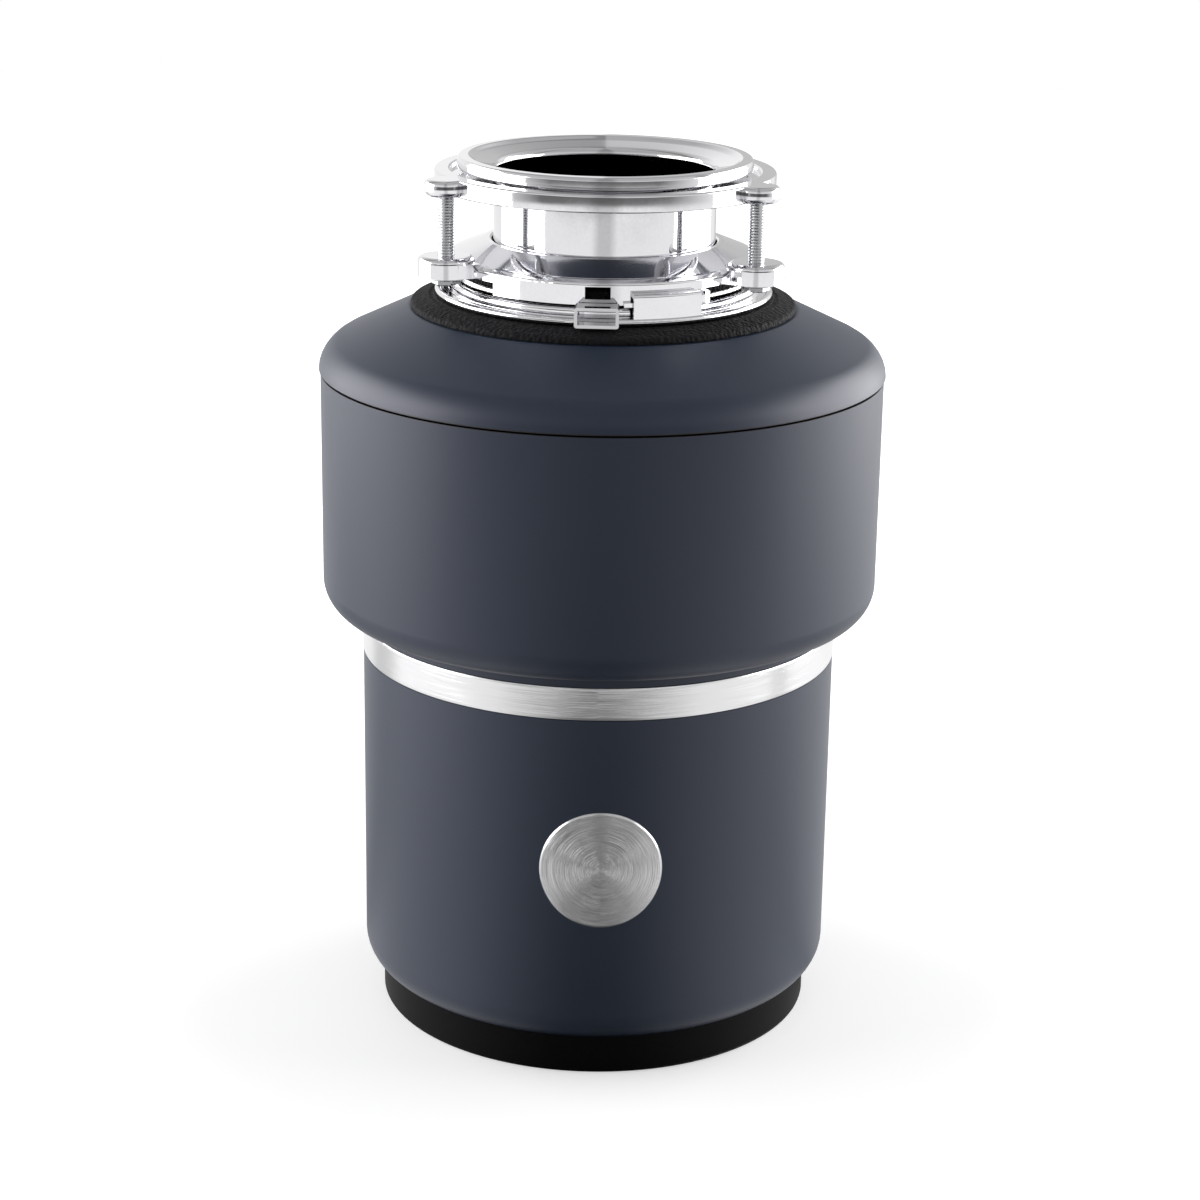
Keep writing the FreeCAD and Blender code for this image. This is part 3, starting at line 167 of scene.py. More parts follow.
class Graph:
    """The node graph of one material, with its Principled shader and output."""

    def __init__(self, name: str) -> None:
        """Makes an empty material with one Principled shader.

        Args:
            name: The material's name.
        """
        self.material = bpy.data.materials.new(name)
        self.material.use_nodes = True
        self.tree = self.material.node_tree
        self.tree.nodes.clear()
        self.shader = self.node("ShaderNodeBsdfPrincipled", {}, {})
        self.node("ShaderNodeOutputMaterial", {}, {"Surface": self.shader.outputs[0]})

    @classmethod
    def of_tree(cls, tree: bpy.types.NodeTree) -> "Graph":
        """Graph of a node tree that isn't a material's, such as the world's.

        Args:
            tree: The node tree, which is emptied.

        Returns:
            A graph that can add nodes to it.
        """
        graph = cls.__new__(cls)
        graph.tree = tree
        tree.nodes.clear()
        return graph

    def node(self, kind: str, settings: dict[str, Any], sockets: dict[Any, Any]) -> bpy.types.Node:
        """Adds a node.

        Args:
            kind: The node's type.
            settings: Its properties, set first. "stops" fills a colour ramp.
            sockets: Its inputs by name or number, as plain values, sockets or Values.

        Returns:
            The new node.
        """
        made = self.tree.nodes.new(kind)
        for name, value in settings.items():
            if name == "stops":
                for index, (place, colour) in enumerate(value):
                    ramp = made.color_ramp.elements
                    stop = ramp[index] if index < 2 else ramp.new(place)
                    stop.position = place
                    stop.color = (*colour, 1.0)
            else:
                setattr(made, name, value)
        for key, value in sockets.items():
            if isinstance(value, Value):
                value = value.socket
            if isinstance(value, bpy.types.NodeSocket):
                self.tree.links.new(value, made.inputs[key])
            elif isinstance(value, tuple) and len(value) == 3 and made.inputs[key].type == "RGBA":
                made.inputs[key].default_value = (*value, 1.0)
            else:
                made.inputs[key].default_value = value
        return made

    def place(self) -> bpy.types.NodeSocket:
        """Object coordinates."""
        return self.node("ShaderNodeTexCoord", {}, {}).outputs["Object"]

    def split(self, vector: bpy.types.NodeSocket) -> tuple[Value, Value, Value]:
        """Parts of a vector as three numbers."""
        made = self.node("ShaderNodeSeparateXYZ", {}, {0: vector})
        return tuple(Value(self, output) for output in made.outputs)

    def join(self, x: Number, y: Number, z: Number) -> bpy.types.NodeSocket:
        """Vector of three numbers."""
        return self.node("ShaderNodeCombineXYZ", {}, {0: x, 1: y, 2: z}).outputs[0]

    def noise(self, vector: bpy.types.NodeSocket, scale: float, detail: float = 2.0,
              rough: float = 0.5) -> Value:
        """Noise pattern from 0 to 1.

        Args:
            vector: Where the pattern is read.
            scale: Waves for each metre.
            detail: Octaves.
            rough: Strength of the finer octaves.

        Returns:
            The noise value.
        """
        sockets = {"Vector": vector, "Scale": scale, "Detail": detail, "Roughness": rough}
        made = self.node("ShaderNodeTexNoise", {"noise_dimensions": "3D"}, sockets)
        return Value(self, made.outputs["Fac"])

    def cells(self, vector: bpy.types.NodeSocket, scale: float) -> Value:
        """Distance to the nearest point of a scattered pattern."""
        made = self.node("ShaderNodeTexVoronoi", {}, {"Vector": vector, "Scale": scale})
        return Value(self, made.outputs["Distance"])

    def blend(self, share: Number, first: Colour, second: Colour) -> bpy.types.NodeSocket:
        """Mix of two colours by a share."""
        settings = {"data_type": "RGBA"}
        made = self.node("ShaderNodeMix", settings, {0: share, 6: first, 7: second})
        return made.outputs[2]

    def bump(self, height: Value, strength: float, distance: float) -> None:
        """Feeds a height pattern to the shader's normal.

        Args:
            height: The pattern from 0 to 1.
            strength: How much of it is used.
            distance: Height of the pattern in metres.
        """
        sockets = {"Strength": strength, "Distance": distance, "Height": height}
        made = self.node("ShaderNodeBump", {}, sockets)
        self.tree.links.new(made.outputs[0], self.shader.inputs["Normal"])

    def feed(self, **sockets: Any) -> None:
        """Sets the shader's own sockets. Underscores in the names stand for spaces."""
        for name, value in sockets.items():
            target = self.shader.inputs[name.replace("_", " ")]
            if isinstance(value, Value):
                value = value.socket
            if isinstance(value, bpy.types.NodeSocket):
                self.tree.links.new(value, target)
            elif isinstance(value, tuple) and len(value) == 3:
                target.default_value = (*value, 1.0)
            else:
                target.default_value = value


@dataclass(frozen=True)
class Paint:
    """Matte slate paint with a fine metallic fleck."""

    name: str = "slate_paint"
    deep: Colour = (0.005, 0.013, 0.030)
    pale: Colour = (0.009, 0.020, 0.040)
    rough_low: float = 0.40
    rough_high: float = 0.48
    seam_height: float = 0.2628
    seam_half: float = 0.0006

    def material(self) -> bpy.types.Material:
        """Material with cloudy tone, fleck, a light orange-peel bump and a painted shade line along the
        seam.
        """
        graph = Graph(self.name)
        place = graph.place()
        cloud = graph.noise(place, 14.0, 3.0)
        fleck = graph.noise(place, 2600.0, 1.0)
        peel = graph.noise(place, 700.0, 2.0)
        tone = cloud * 0.5 + fleck * 0.5
        rough = self.rough_low + tone * (self.rough_high - self.rough_low)
        # Painted shade: a near-black band in the base colour at the seam's height stands in for the
        # shadow in the gap between cover and shell.
        _, _, height = graph.split(place)
        off_seam = (height - self.seam_height).maths("ABSOLUTE")
        outside_seam_shade = off_seam.ramp(self.seam_half, self.seam_half * 1.3)
        shade = graph.blend(tone, self.deep, self.pale)
        graph.feed(Base_Color=graph.blend(outside_seam_shade, (0.002, 0.003, 0.004), shade), Roughness=rough,
                   Specular_IOR_Level=0.60, Specular_Tint=(0.96, 0.92, 1.0))
        graph.bump(peel * 0.6 + fleck * 0.4, 0.10, 0.00006)
        return graph.material


@dataclass(frozen=True)
class Polished:
    """Bright metal with faint wipe marks."""

    name: str
    colour: Colour = (0.80, 0.80, 0.82)
    rough_low: float = 0.03
    rough_high: float = 0.08
    grain: float = 0.015
    shaded_bore_radius: float = 0.0
    shaded_bore_top: float = 0.0

    def material(self) -> bpy.types.Material:
        """Material with clouded gloss, a faint waviness and, where set, painted shade that darkens the
        bore's inside below its top.
        """
        graph = Graph(self.name)
        place = graph.place()
        cloud = graph.noise(place, 45.0, 4.0)
        wipe = graph.noise(place, 900.0, 2.0)
        share = (cloud * 0.7 + wipe * 0.3).ramp(0.3, 0.7)
        rough = self.rough_low + share * (self.rough_high - self.rough_low)
        dull = tuple(part * 0.93 for part in self.colour)
        colour = graph.blend(share, self.colour, dull)
        # Painted shade: inside the bore and below its top the colour goes to near black, standing in for
        # the shade in the throat.
        if self.shaded_bore_radius:
            x, y, z = graph.split(place)
            inside = 1.0 - ((x * x + y * y) ** 0.5).ramp(self.shaded_bore_radius - 0.0004, self.shaded_bore_radius)
            deep = 1.0 - z.ramp(self.shaded_bore_top - 0.006, self.shaded_bore_top)
            colour = graph.blend(inside * deep, colour, (0.03, 0.03, 0.032))
        graph.feed(Base_Color=colour, Roughness=rough, Metallic=1.0)
        graph.bump(graph.noise(place, 120.0, 1.0), self.grain, 0.0004)
        return graph.material


@dataclass(frozen=True)
class Grained:
    """Metal with a dull grain: drawn, cast, laminated or sintered."""

    name: str
    colour: Colour
    rough: float = 0.35
    scale: float = 400.0
    stretch: Colour = (1.0, 1.0, 1.0)
    depth: float = 0.0001
    metallic: float = 1.0
    contrast: float = 0.25

    def material(self) -> bpy.types.Material:
        """Material with a stretched grain in colour, gloss and bump."""
        graph = Graph(self.name)
        made = graph.node("ShaderNodeMapping", {}, {0: graph.place(), 3: self.stretch})
        grain = graph.noise(made.outputs[0], self.scale, 4.0, 0.6)
        patch = graph.noise(graph.place(), 22.0, 3.0)
        share = (grain * 0.6 + patch * 0.4).ramp(0.3, 0.7)
        dark = tuple(part * (1.0 - self.contrast) for part in self.colour)
        rough = self.rough * 0.85 + share * self.rough * 0.3
        graph.feed(Base_Color=graph.blend(share, dark, self.colour), Roughness=rough,
                   Metallic=self.metallic)
        graph.bump(grain, 0.35, self.depth)
        return graph.material


class Lay(Enum):
    """Way that brush lines run."""

    ROUND_THE_CAN = "rings at one height"
    ROUND_THE_BADGE = "rings round the badge's centre"


@dataclass(frozen=True)
class Brushed:
    """Metal brushed in one way: the surface tilts at random across the lines."""

    name: str
    lay: Lay
    colour: Colour = (0.80, 0.80, 0.81)
    rough: float = 0.22
    tilt: float = 0.30
    lines: float = 9000.0
    centre: Colour = (0.0, 0.0, 0.0)

    def material(self) -> bpy.types.Material:
        """Material whose normal leans across its brush lines."""
        graph = Graph(self.name)
        place = graph.place()
        offset = graph.node("ShaderNodeVectorMath", {"operation": "SUBTRACT"},
                            {0: place, 1: self.centre}).outputs[0]
        x, y, z = graph.split(offset)
        if self.lay is Lay.ROUND_THE_CAN:
            across = (0.0, 0.0, 1.0)
            angle = x.maths("ARCTAN2", y)
            lines = graph.noise(graph.join(angle * 3.0, 0.0, z * self.lines), 1.0, 2.0, 0.6)
        else:
            flat = graph.join(x, 0.0, z)
            across = graph.node("ShaderNodeVectorMath", {"operation": "NORMALIZE"}, {0: flat}).outputs[0]
            reach = (x * x + z * z) ** 0.5
            angle = x.maths("ARCTAN2", z)
            lines = graph.noise(graph.join(angle * 0.8, 0.0, reach * self.lines), 1.0, 2.0, 0.6)
        lean = (lines - 0.5) * self.tilt
        push = graph.node("ShaderNodeVectorMath", {"operation": "SCALE"}, {0: across, "Scale": lean})
        normal = graph.node("ShaderNodeNewGeometry", {}, {}).outputs["Normal"]
        added = graph.node("ShaderNodeVectorMath", {"operation": "ADD"}, {0: normal, 1: push.outputs[0]})
        unit = graph.node("ShaderNodeVectorMath", {"operation": "NORMALIZE"}, {0: added.outputs[0]})
        share = lines.ramp(0.3, 0.7)
        dull = tuple(part * 0.86 for part in self.colour)
        graph.feed(Base_Color=graph.blend(share, dull, self.colour), Roughness=self.rough,
                   Metallic=1.0, Normal=unit.outputs[0])
        return graph.material


@dataclass(frozen=True)
class Moulded:
    """Plastic, rubber or foam with a moulded grain."""

    name: str
    colour: Colour
    rough: float
    scale: float = 900.0
    depth: float = 0.0001
    strength: float = 0.4
    contrast: float = 0.3
    shine: float = 0.5

    def material(self) -> bpy.types.Material:
        """Material with a pebbled bump and paler high spots."""
        graph = Graph(self.name)
        place = graph.place()
        pebble = graph.cells(place, self.scale)
        cloud = graph.noise(place, 30.0, 3.0)
        share = (pebble * 0.6 + cloud * 0.4).ramp(0.2, 0.8)
        pale = tuple(min(1.0, part * (1.0 + self.contrast) + 0.002) for part in self.colour)
        rough = self.rough + (cloud - 0.5) * 0.12
        graph.feed(Base_Color=graph.blend(share, self.colour, pale), Roughness=rough,
                   Specular_IOR_Level=self.shine)
        graph.bump(pebble, self.strength, self.depth)
        return graph.material


@dataclass(frozen=True)
class Studio:
    """Camera, lamps, floor and surroundings."""

    camera_back: float = 1.0814
    camera_height: float = 0.5085
    pitch: float = 17.53
    roll: float = 0.88
    focal_px: float = 2808.0
    frame_px: float = 1200.0
    centre_px: float = 598.8
    sensor: float = 36.0
    floor_size: float = 6.0
    side_power: float = 34.0
    front_power: float = 1.6
    top_power: float = 5.0
    fill: float = 0.20
    screens: tuple[Colour, ...] = ((0.0, 13.0, 0.35), (-118.0, 16.0, 0.50), (90.0, 8.0, 0.40),
                                   (172.0, 20.0, 0.40))
    cloths: tuple[Corner, ...] = ((-0.05, 0.66, 0.05, 12.0, 45.0), (1.98, 9.00, 0.14, 42.0, 78.0))

    def room(self, graph: Graph, x: Value, y: Value) -> tuple[Value, Value]:
        """Brightness of the surroundings by direction, as reflections see them.

        Args:
            graph: The node graph of the floor or the world; not used.
            x: Part of the way that points right.
            y: Part of the way that points back.

        Returns:
            The brightness with its soft dark screens, and the angle from the front in degrees.
        """
        side = x.maths("ARCTAN2", 0.0 - y) * (180.0 / math.pi)
        bright = side * 0.0 + 1.0
        for middle, half, depth in self.screens:
            off = (side - middle).maths("ABSOLUTE")
            bright = bright * (1.0 - (1.0 - off.ramp(half * 0.4, half)) * depth)
        return bright, side.maths("ABSOLUTE")

    def set_camera(self) -> None:
        """Camera at the photographed angle."""
        data = bpy.data.cameras.new("camera")
        data.sensor_width = self.sensor
        data.lens = self.focal_px / self.frame_px * self.sensor
        data.shift_x = (self.frame_px / 2 - self.centre_px) / self.frame_px
        data.clip_start = 0.01
        data.clip_end = 50.0
        camera = bpy.data.objects.new("camera", data)
        bpy.context.scene.collection.objects.link(camera)
        look = Matrix.Rotation(math.radians(90.0 - self.pitch), 4, "X")
        turn = Matrix.Rotation(math.radians(self.roll), 4, "Z")
        spot = Matrix.Translation((0.0, -self.camera_back, self.camera_height))
        camera.matrix_world = spot @ look @ turn
        bpy.context.scene.camera = camera

    def set_lamps(self) -> None:
        """Tall soft boxes beside and behind the object on both sides, and one overhead."""
        for name, x, y, z, width, height, power in (
            ("softbox_left", -1.25, 0.15, 0.30, 1.7, 1.5, self.side_power),
            ("softbox_right", 1.20, 0.38, 0.30, 1.6, 1.5, self.side_power),
            ("softbox_front", -0.15, -1.7, 1.5, 1.2, 0.7, self.front_power),
            ("softbox_top", 0.0, 0.2, 1.7, 1.3, 1.3, self.top_power),
        ):
            data = bpy.data.lights.new(name, "AREA")
            data.shape = "RECTANGLE"
            data.size = width
            data.size_y = height
            data.energy = power
            lamp = bpy.data.objects.new(name, data)
            bpy.context.scene.collection.objects.link(lamp)
            lamp.location = (x, y, z)
            aim = Vector((0.0, 0.0, 0.2)) - lamp.location
            lamp.rotation_euler = aim.to_track_quat("-Z", "Y").to_euler()
            lamp.visible_glossy = abs(x) > 0.5

    def set_world(self) -> None:
        """White surroundings. Reflections see a bright room with a few dark screens in it."""
        world = bpy.data.worlds.new("studio")
        bpy.context.scene.world = world
        world.use_nodes = True
        graph = Graph.of_tree(world.node_tree)
        way = graph.node("ShaderNodeTexCoord", {}, {}).outputs["Generated"]
        x, y, z = graph.split(way)
        bright, aside = self.room(graph, x, y)
        front = 1.0 - aside.ramp(38.0, 75.0)
        low = 1.0 - z.maths("ABSOLUTE").ramp(0.10, 0.35)
        room = bright * (1.0 - front * low * 0.88) * (1.0 - z.ramp(0.30, 0.75) * 0.50)
        light = graph.node("ShaderNodeLightPath", {}, {})
        glossy = Value(graph, light.outputs["Is Glossy Ray"])
        seen = Value(graph, light.outputs["Is Camera Ray"])
        clear = Value(graph, light.outputs["Is Transmission Ray"])
        plain = seen.maths("MAXIMUM", clear)
        fill = self.fill * (1.0 - glossy) + room * glossy
        strength = plain + fill * (1.0 - plain)
        shade = graph.node("ShaderNodeBackground", {}, {0: (1.0, 1.0, 1.0), 1: strength})
        graph.node("ShaderNodeOutputWorld", {}, {0: shade.outputs[0]})

    def set_floor(self) -> None:
        """Pale floor that keeps the soft shadow and turns white away from the object."""
        bpy.ops.object.select_all(action="DESELECT")
        bpy.ops.mesh.primitive_plane_add(size=self.floor_size)
        floor = bpy.context.object
        floor.name = "floor"
        floor.location.z = CAD_BOUNDS[0].z - 0.0002
        graph = Graph("floor_white")
        light = graph.node("ShaderNodeLightPath", {}, {})
        seen = Value(graph, light.outputs["Is Camera Ray"])
        x, y, _ = graph.split(graph.place())
        reach = (x * x + y * y) ** 0.5
        mirrored, aside = self.room(graph, x, y)
        glossy = Value(graph, light.outputs["Is Glossy Ray"])
        for start, end, soft, inner, outer in self.cloths:
            cloth = reach.ramp(start, start + soft) * (1.0 - reach.ramp(end - soft, end))
            mirrored = mirrored * (1.0 - (1.0 - aside.ramp(inner, outer)) * cloth * 0.90)
        plain = 0.52 + reach.ramp(0.16, 0.60) * 0.6
        shade = graph.blend(glossy, (0.62, 0.62, 0.62), (0.10, 0.10, 0.10))
        graph.feed(Base_Color=shade, Roughness=0.6, Specular_IOR_Level=0.1,
                   Emission_Color=(1.0, 1.0, 1.0),
                   Emission_Strength=seen * plain + glossy * mirrored * 0.92)
        floor.data.materials.append(graph.material)

    def build(self) -> None:
        """Sets up the whole studio."""
        self.set_camera()
        self.set_lamps()
        self.set_world()
        self.set_floor()
        bpy.context.scene.view_settings.view_transform = "Standard"


class Finishes:
    """Every finish of the disposer, each made once."""

    def __init__(self, badge_centre: Colour) -> None:
        """Makes the materials.

        Args:
            badge_centre: Middle of the badge, in metres.
        """
        recipes = (
            Paint(),
            # The polished steel's bore radius and top set where its painted shade inside the throat
            # lies.
            Polished("polished_steel", shaded_bore_radius=0.0426, shaded_bore_top=0.3425),
            Polished("chrome", (0.82, 0.82, 0.84), 0.03, 0.10),
            Grained("zinc_steel", (0.62, 0.63, 0.64), 0.28, 700.0),
            Grained("stainless", (0.66, 0.66, 0.65), 0.24, 500.0, (1.0, 1.0, 8.0)),
            Brushed("brushed_trim", Lay.ROUND_THE_CAN, tilt=0.6),
            Brushed("badge_metal", Lay.ROUND_THE_BADGE, centre=badge_centre, rough=0.16,
                    tilt=4.0, lines=26000.0),
            Moulded("black_rubber", (0.003, 0.003, 0.004), 0.75, 620.0, 0.0006, 1.0, 0.6, 0.18),
            Moulded("black_plastic", (0.0015, 0.0015, 0.002), 0.55, 1500.0, 0.00005, 0.2, 0.4, 0.06),
            Moulded("grey_foam", (0.20, 0.20, 0.21), 0.95, 420.0, 0.0008, 1.0, 0.4),
            Grained("cast_aluminium", (0.52, 0.53, 0.54), 0.48, 900.0, depth=0.0003),
            Grained("bronze", (0.50, 0.34, 0.16), 0.42, 1500.0),
            Grained("core_steel", (0.20, 0.20, 0.21), 0.45, 300.0, (0.2, 0.2, 14.0), 0.0002),
            Grained("copper_coil", (0.55, 0.24, 0.10), 0.35, 260.0, (0.6, 0.6, 8.0), 0.0006),
            Grained("cast_steel", (0.44, 0.44, 0.45), 0.40, 800.0, depth=0.0003),
            Moulded("red_plastic", (0.50, 0.015, 0.010), 0.25, 1200.0, 0.00002, 0.1, 0.2),
        )
        self.made = {recipe.name: recipe.material() for recipe in recipes}

    def dress(self, piece: bpy.types.Object, finish: str) -> None:
        """Gives a piece one finish.

        Args:
            piece: The object to dress.
            finish: The finish's name.
        """
        piece.data.materials.clear()
        piece.data.materials.append(self.made[finish])


class Pick(Enum):
    """What an edit-mode selection is made of."""

    VERTICES = "VERT"
    EDGES = "EDGE"
    FACES = "FACE"


class Bench:
    """The few moves by which every new piece is modelled, each as a hand would do it."""

    @staticmethod
    def alone(piece: bpy.types.Object) -> None:
        """Leaves one object selected and active."""
        bpy.ops.object.select_all(action="DESELECT")
        piece.select_set(True)
        bpy.context.view_layer.objects.active = piece

    @classmethod
    @contextmanager
    def editing(cls, piece: bpy.types.Object) -> Iterator[None]:
        """Opens a piece in edit mode for the lines within."""
        cls.alone(piece)
        bpy.ops.object.mode_set(mode="EDIT")
        bpy.ops.mesh.select_mode(type=Pick.VERTICES.value)
        try:
            yield
        finally:
            bpy.ops.object.mode_set(mode="OBJECT")

    @staticmethod
    def pick(piece: bpy.types.Object, kind: Pick, test: Callable[[Any], bool]) -> int:
        """Selects in edit mode the parts of a mesh that pass a test, and nothing else.

        Args:
            piece: The object in edit mode.
            kind: Vertices, edges or faces.
            test: Says whether a part is wanted.

        Returns:
            How many were selected.
        """
        bpy.ops.mesh.select_mode(type=kind.value)
        bpy.ops.mesh.select_all(action="DESELECT")
        live = bmesh.from_edit_mesh(piece.data)
        groups = {Pick.VERTICES: live.verts, Pick.EDGES: live.edges, Pick.FACES: live.faces}
        wanted = [part for part in groups[kind] if test(part)]
        for part in wanted:
            part.select_set(True)
        live.select_flush_mode()
        bmesh.update_edit_mesh(piece.data)
        return len(wanted)

    @classmethod
    def tidy(cls, piece: bpy.types.Object, angle: float = 32.0) -> bpy.types.Object:
        """Merges doubles, turns the faces outwards and smooths all but sharp edges and flats."""
        with cls.editing(piece):
            bpy.ops.mesh.select_all(action="SELECT")
            bpy.ops.mesh.remove_doubles(threshold=2e-6)
            bpy.ops.mesh.normals_make_consistent(inside=False)
        cls.alone(piece)
        bpy.ops.object.shade_smooth_by_angle(angle=math.radians(angle))
        modifier = piece.modifiers.new("even_shading", "WEIGHTED_NORMAL")
        modifier.keep_sharp = True
        bpy.ops.object.modifier_apply(modifier=modifier.name)
        return piece

    @classmethod
    def apply(cls, piece: bpy.types.Object) -> None:
        """Writes the object's place, turn and scale into its mesh."""
        cls.alone(piece)
        bpy.ops.object.transform_apply(location=True, rotation=True, scale=True)

    @classmethod
    def lathe(cls, name: str, outline: Sequence[Corner], steps: int = 160, sweep: float = 360.0,
              closed: bool = True) -> bpy.types.Object:
        """Turns an outline about the Z axis.

        Args:
            name: The object's name.
            outline: Corners as radius and height, and a fillet where the corner has one, in mm.
            steps: Parts that the sweep is made of.
            sweep: Degrees, from azimuth 0.
            closed: False for an outline whose two ends are on the axis.

        Returns:
            The turned piece.
        """
        corners = [Vector((corner[0], 0.0, corner[1])) * MM for corner in outline]
        bpy.ops.object.select_all(action="DESELECT")
        bpy.ops.mesh.primitive_plane_add(size=MM)
        piece = bpy.context.object
        piece.name = name
        with cls.editing(piece):
            bpy.ops.mesh.select_all(action="SELECT")
            bpy.ops.mesh.merge(type="CENTER")
            bpy.ops.transform.translate(value=corners[0])
            for start, end in zip(corners, corners[1:]):
                bpy.ops.mesh.extrude_region_move(TRANSFORM_OT_translate={"value": end - start})
            if closed:
                bpy.ops.mesh.select_all(action="SELECT")
                bpy.ops.mesh.edge_face_add()
                bpy.ops.mesh.delete(type="ONLY_FACE")
            for index, corner in enumerate(outline):
                if len(corner) < 3:
                    continue
                here = corners[index]
                back = (corners[index - 1] - here).normalized()
                ahead = (corners[(index + 1) % len(corners)] - here).normalized()
                reach = corner[2] * MM / math.tan(back.angle(ahead) / 2)
                cls.pick(piece, Pick.VERTICES, lambda vertex: (vertex.co - here).length < 1e-6)
                bpy.ops.mesh.bevel(offset=reach, segments=6 if corner[2] > 1.0 else 4,
                                   affect="VERTICES")
            bpy.ops.mesh.select_all(action="SELECT")
            if sweep < 360.0:
                bpy.ops.mesh.edge_face_add()
                bpy.ops.mesh.select_all(action="SELECT")
            bpy.ops.mesh.spin(steps=steps, angle=math.radians(sweep), center=(0.0, 0.0, 0.0),
                              axis=(0.0, 0.0, 1.0))
        return cls.tidy(piece)

    @classmethod
    def block(cls, name: str, low: Colour, high: Colour, edge: float = 0.0) -> bpy.types.Object:
        """Box between two corners in millimetres, with all its edges rounded by a width."""
        middle = [(a + b) / 2 * MM for a, b in zip(low, high)]
        bpy.ops.object.select_all(action="DESELECT")
        bpy.ops.mesh.primitive_cube_add(size=1.0, location=middle)
        piece = bpy.context.object
        piece.name = name
        piece.scale = [(b - a) * MM for a, b in zip(low, high)]
        cls.apply(piece)
        if edge:
            with cls.editing(piece):
                bpy.ops.mesh.select_all(action="SELECT")
                bpy.ops.mesh.bevel(offset=edge * MM, segments=3, affect="EDGES")
        return cls.tidy(piece)

    @classmethod
    def bar(cls, name: str, radius: float, low: float, high: float, edge: float = 0.0,
            sides: int = 48) -> bpy.types.Object:
        """Upright bar on the Z axis in millimetres, round or with a few sides."""
        bpy.ops.object.select_all(action="DESELECT")
        bpy.ops.mesh.primitive_cylinder_add(vertices=sides, radius=radius * MM,
                                            depth=(high - low) * MM,
                                            location=(0.0, 0.0, (low + high) / 2 * MM))
        piece = bpy.context.object
        piece.name = name
        cls.apply(piece)
        if edge:
            with cls.editing(piece):
                flat = (lambda part: abs(part.verts[0].co.z - part.verts[1].co.z) < 1e-7)
                cls.pick(piece, Pick.EDGES, flat)
                bpy.ops.mesh.bevel(offset=edge * MM, segments=3, affect="EDGES")
        return cls.tidy(piece)

    @classmethod
    def placed(cls, piece: bpy.types.Object, x: float = 0.0, y: float = 0.0, z: float = 0.0,
               turn: float = 0.0) -> bpy.types.Object:
        """Turns a piece about the Z axis, moves it by millimetres and applies both."""
        piece.rotation_euler.z = math.radians(turn)
        piece.location = (x * MM, y * MM, z * MM)
        cls.apply(piece)
        return piece

    @classmethod
    def twin(cls, piece: bpy.types.Object) -> bpy.types.Object:
        """Copy of a piece with its own mesh."""
        cls.alone(piece)
        bpy.ops.object.duplicate(linked=False)
        return bpy.context.object

    @classmethod
    def joined(cls, pieces: Sequence[bpy.types.Object], name: str) -> bpy.types.Object:
        """One object from several."""
        cls.alone(pieces[0])
        for other in pieces[1:]:
            other.select_set(True)
        bpy.ops.object.join()
        pieces[0].name = name
        return pieces[0]

    @classmethod
    def around(cls, piece: bpy.types.Object, azimuths: Sequence[float]) -> bpy.types.Object:
        """Copies of a piece made at azimuth 0, one at each azimuth, joined into one."""
        copies = [cls.placed(cls.twin(piece), turn=azimuth) for azimuth in azimuths]
        name = piece.name
        bpy.data.objects.remove(piece)
        return cls.joined(copies, name)

    @classmethod
    def combine(cls, piece: bpy.types.Object, tool: bpy.types.Object,
                way: str = "DIFFERENCE") -> bpy.types.Object:
        """Cuts a tool from a piece, or joins it on, and uses the tool up."""
        cls.alone(piece)
        modifier = piece.modifiers.new("combine", "BOOLEAN")
        modifier.operation = way
        modifier.solver = "EXACT"
        modifier.use_self = True
        modifier.object = tool
        bpy.ops.object.modifier_apply(modifier=modifier.name)
        bpy.data.objects.remove(tool)
        return piece


class Assembly:
    """Base of the sub-assemblies: hides the CAD nodes that each finished piece replaces, hangs the piece
    on their body and dresses it.
    """

    finishes: Finishes

    def fit(self, piece: bpy.types.Object, slot: str, *nodes: str) -> None:
        """Makes a piece stand for CAD nodes, ride on their body and wear a finish.

        Args:
            piece: The finished piece.
            slot: The material slot of the record.
            nodes: The CAD nodes that it replaces.
        """
        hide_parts(*nodes)
        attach(piece, node_body(nodes[0]))
        self.finishes.dress(piece, slot)
        LOG.info("made %s with %d faces", piece.name, len(piece.data.polygons))


def node_body(node: str) -> str:
    """Name of the body that a CAD node belongs to."""
    bodies = frame["record"]["behaviour"]["bodies"]
    return next(body for body, nodes in bodies.items() if node in nodes)


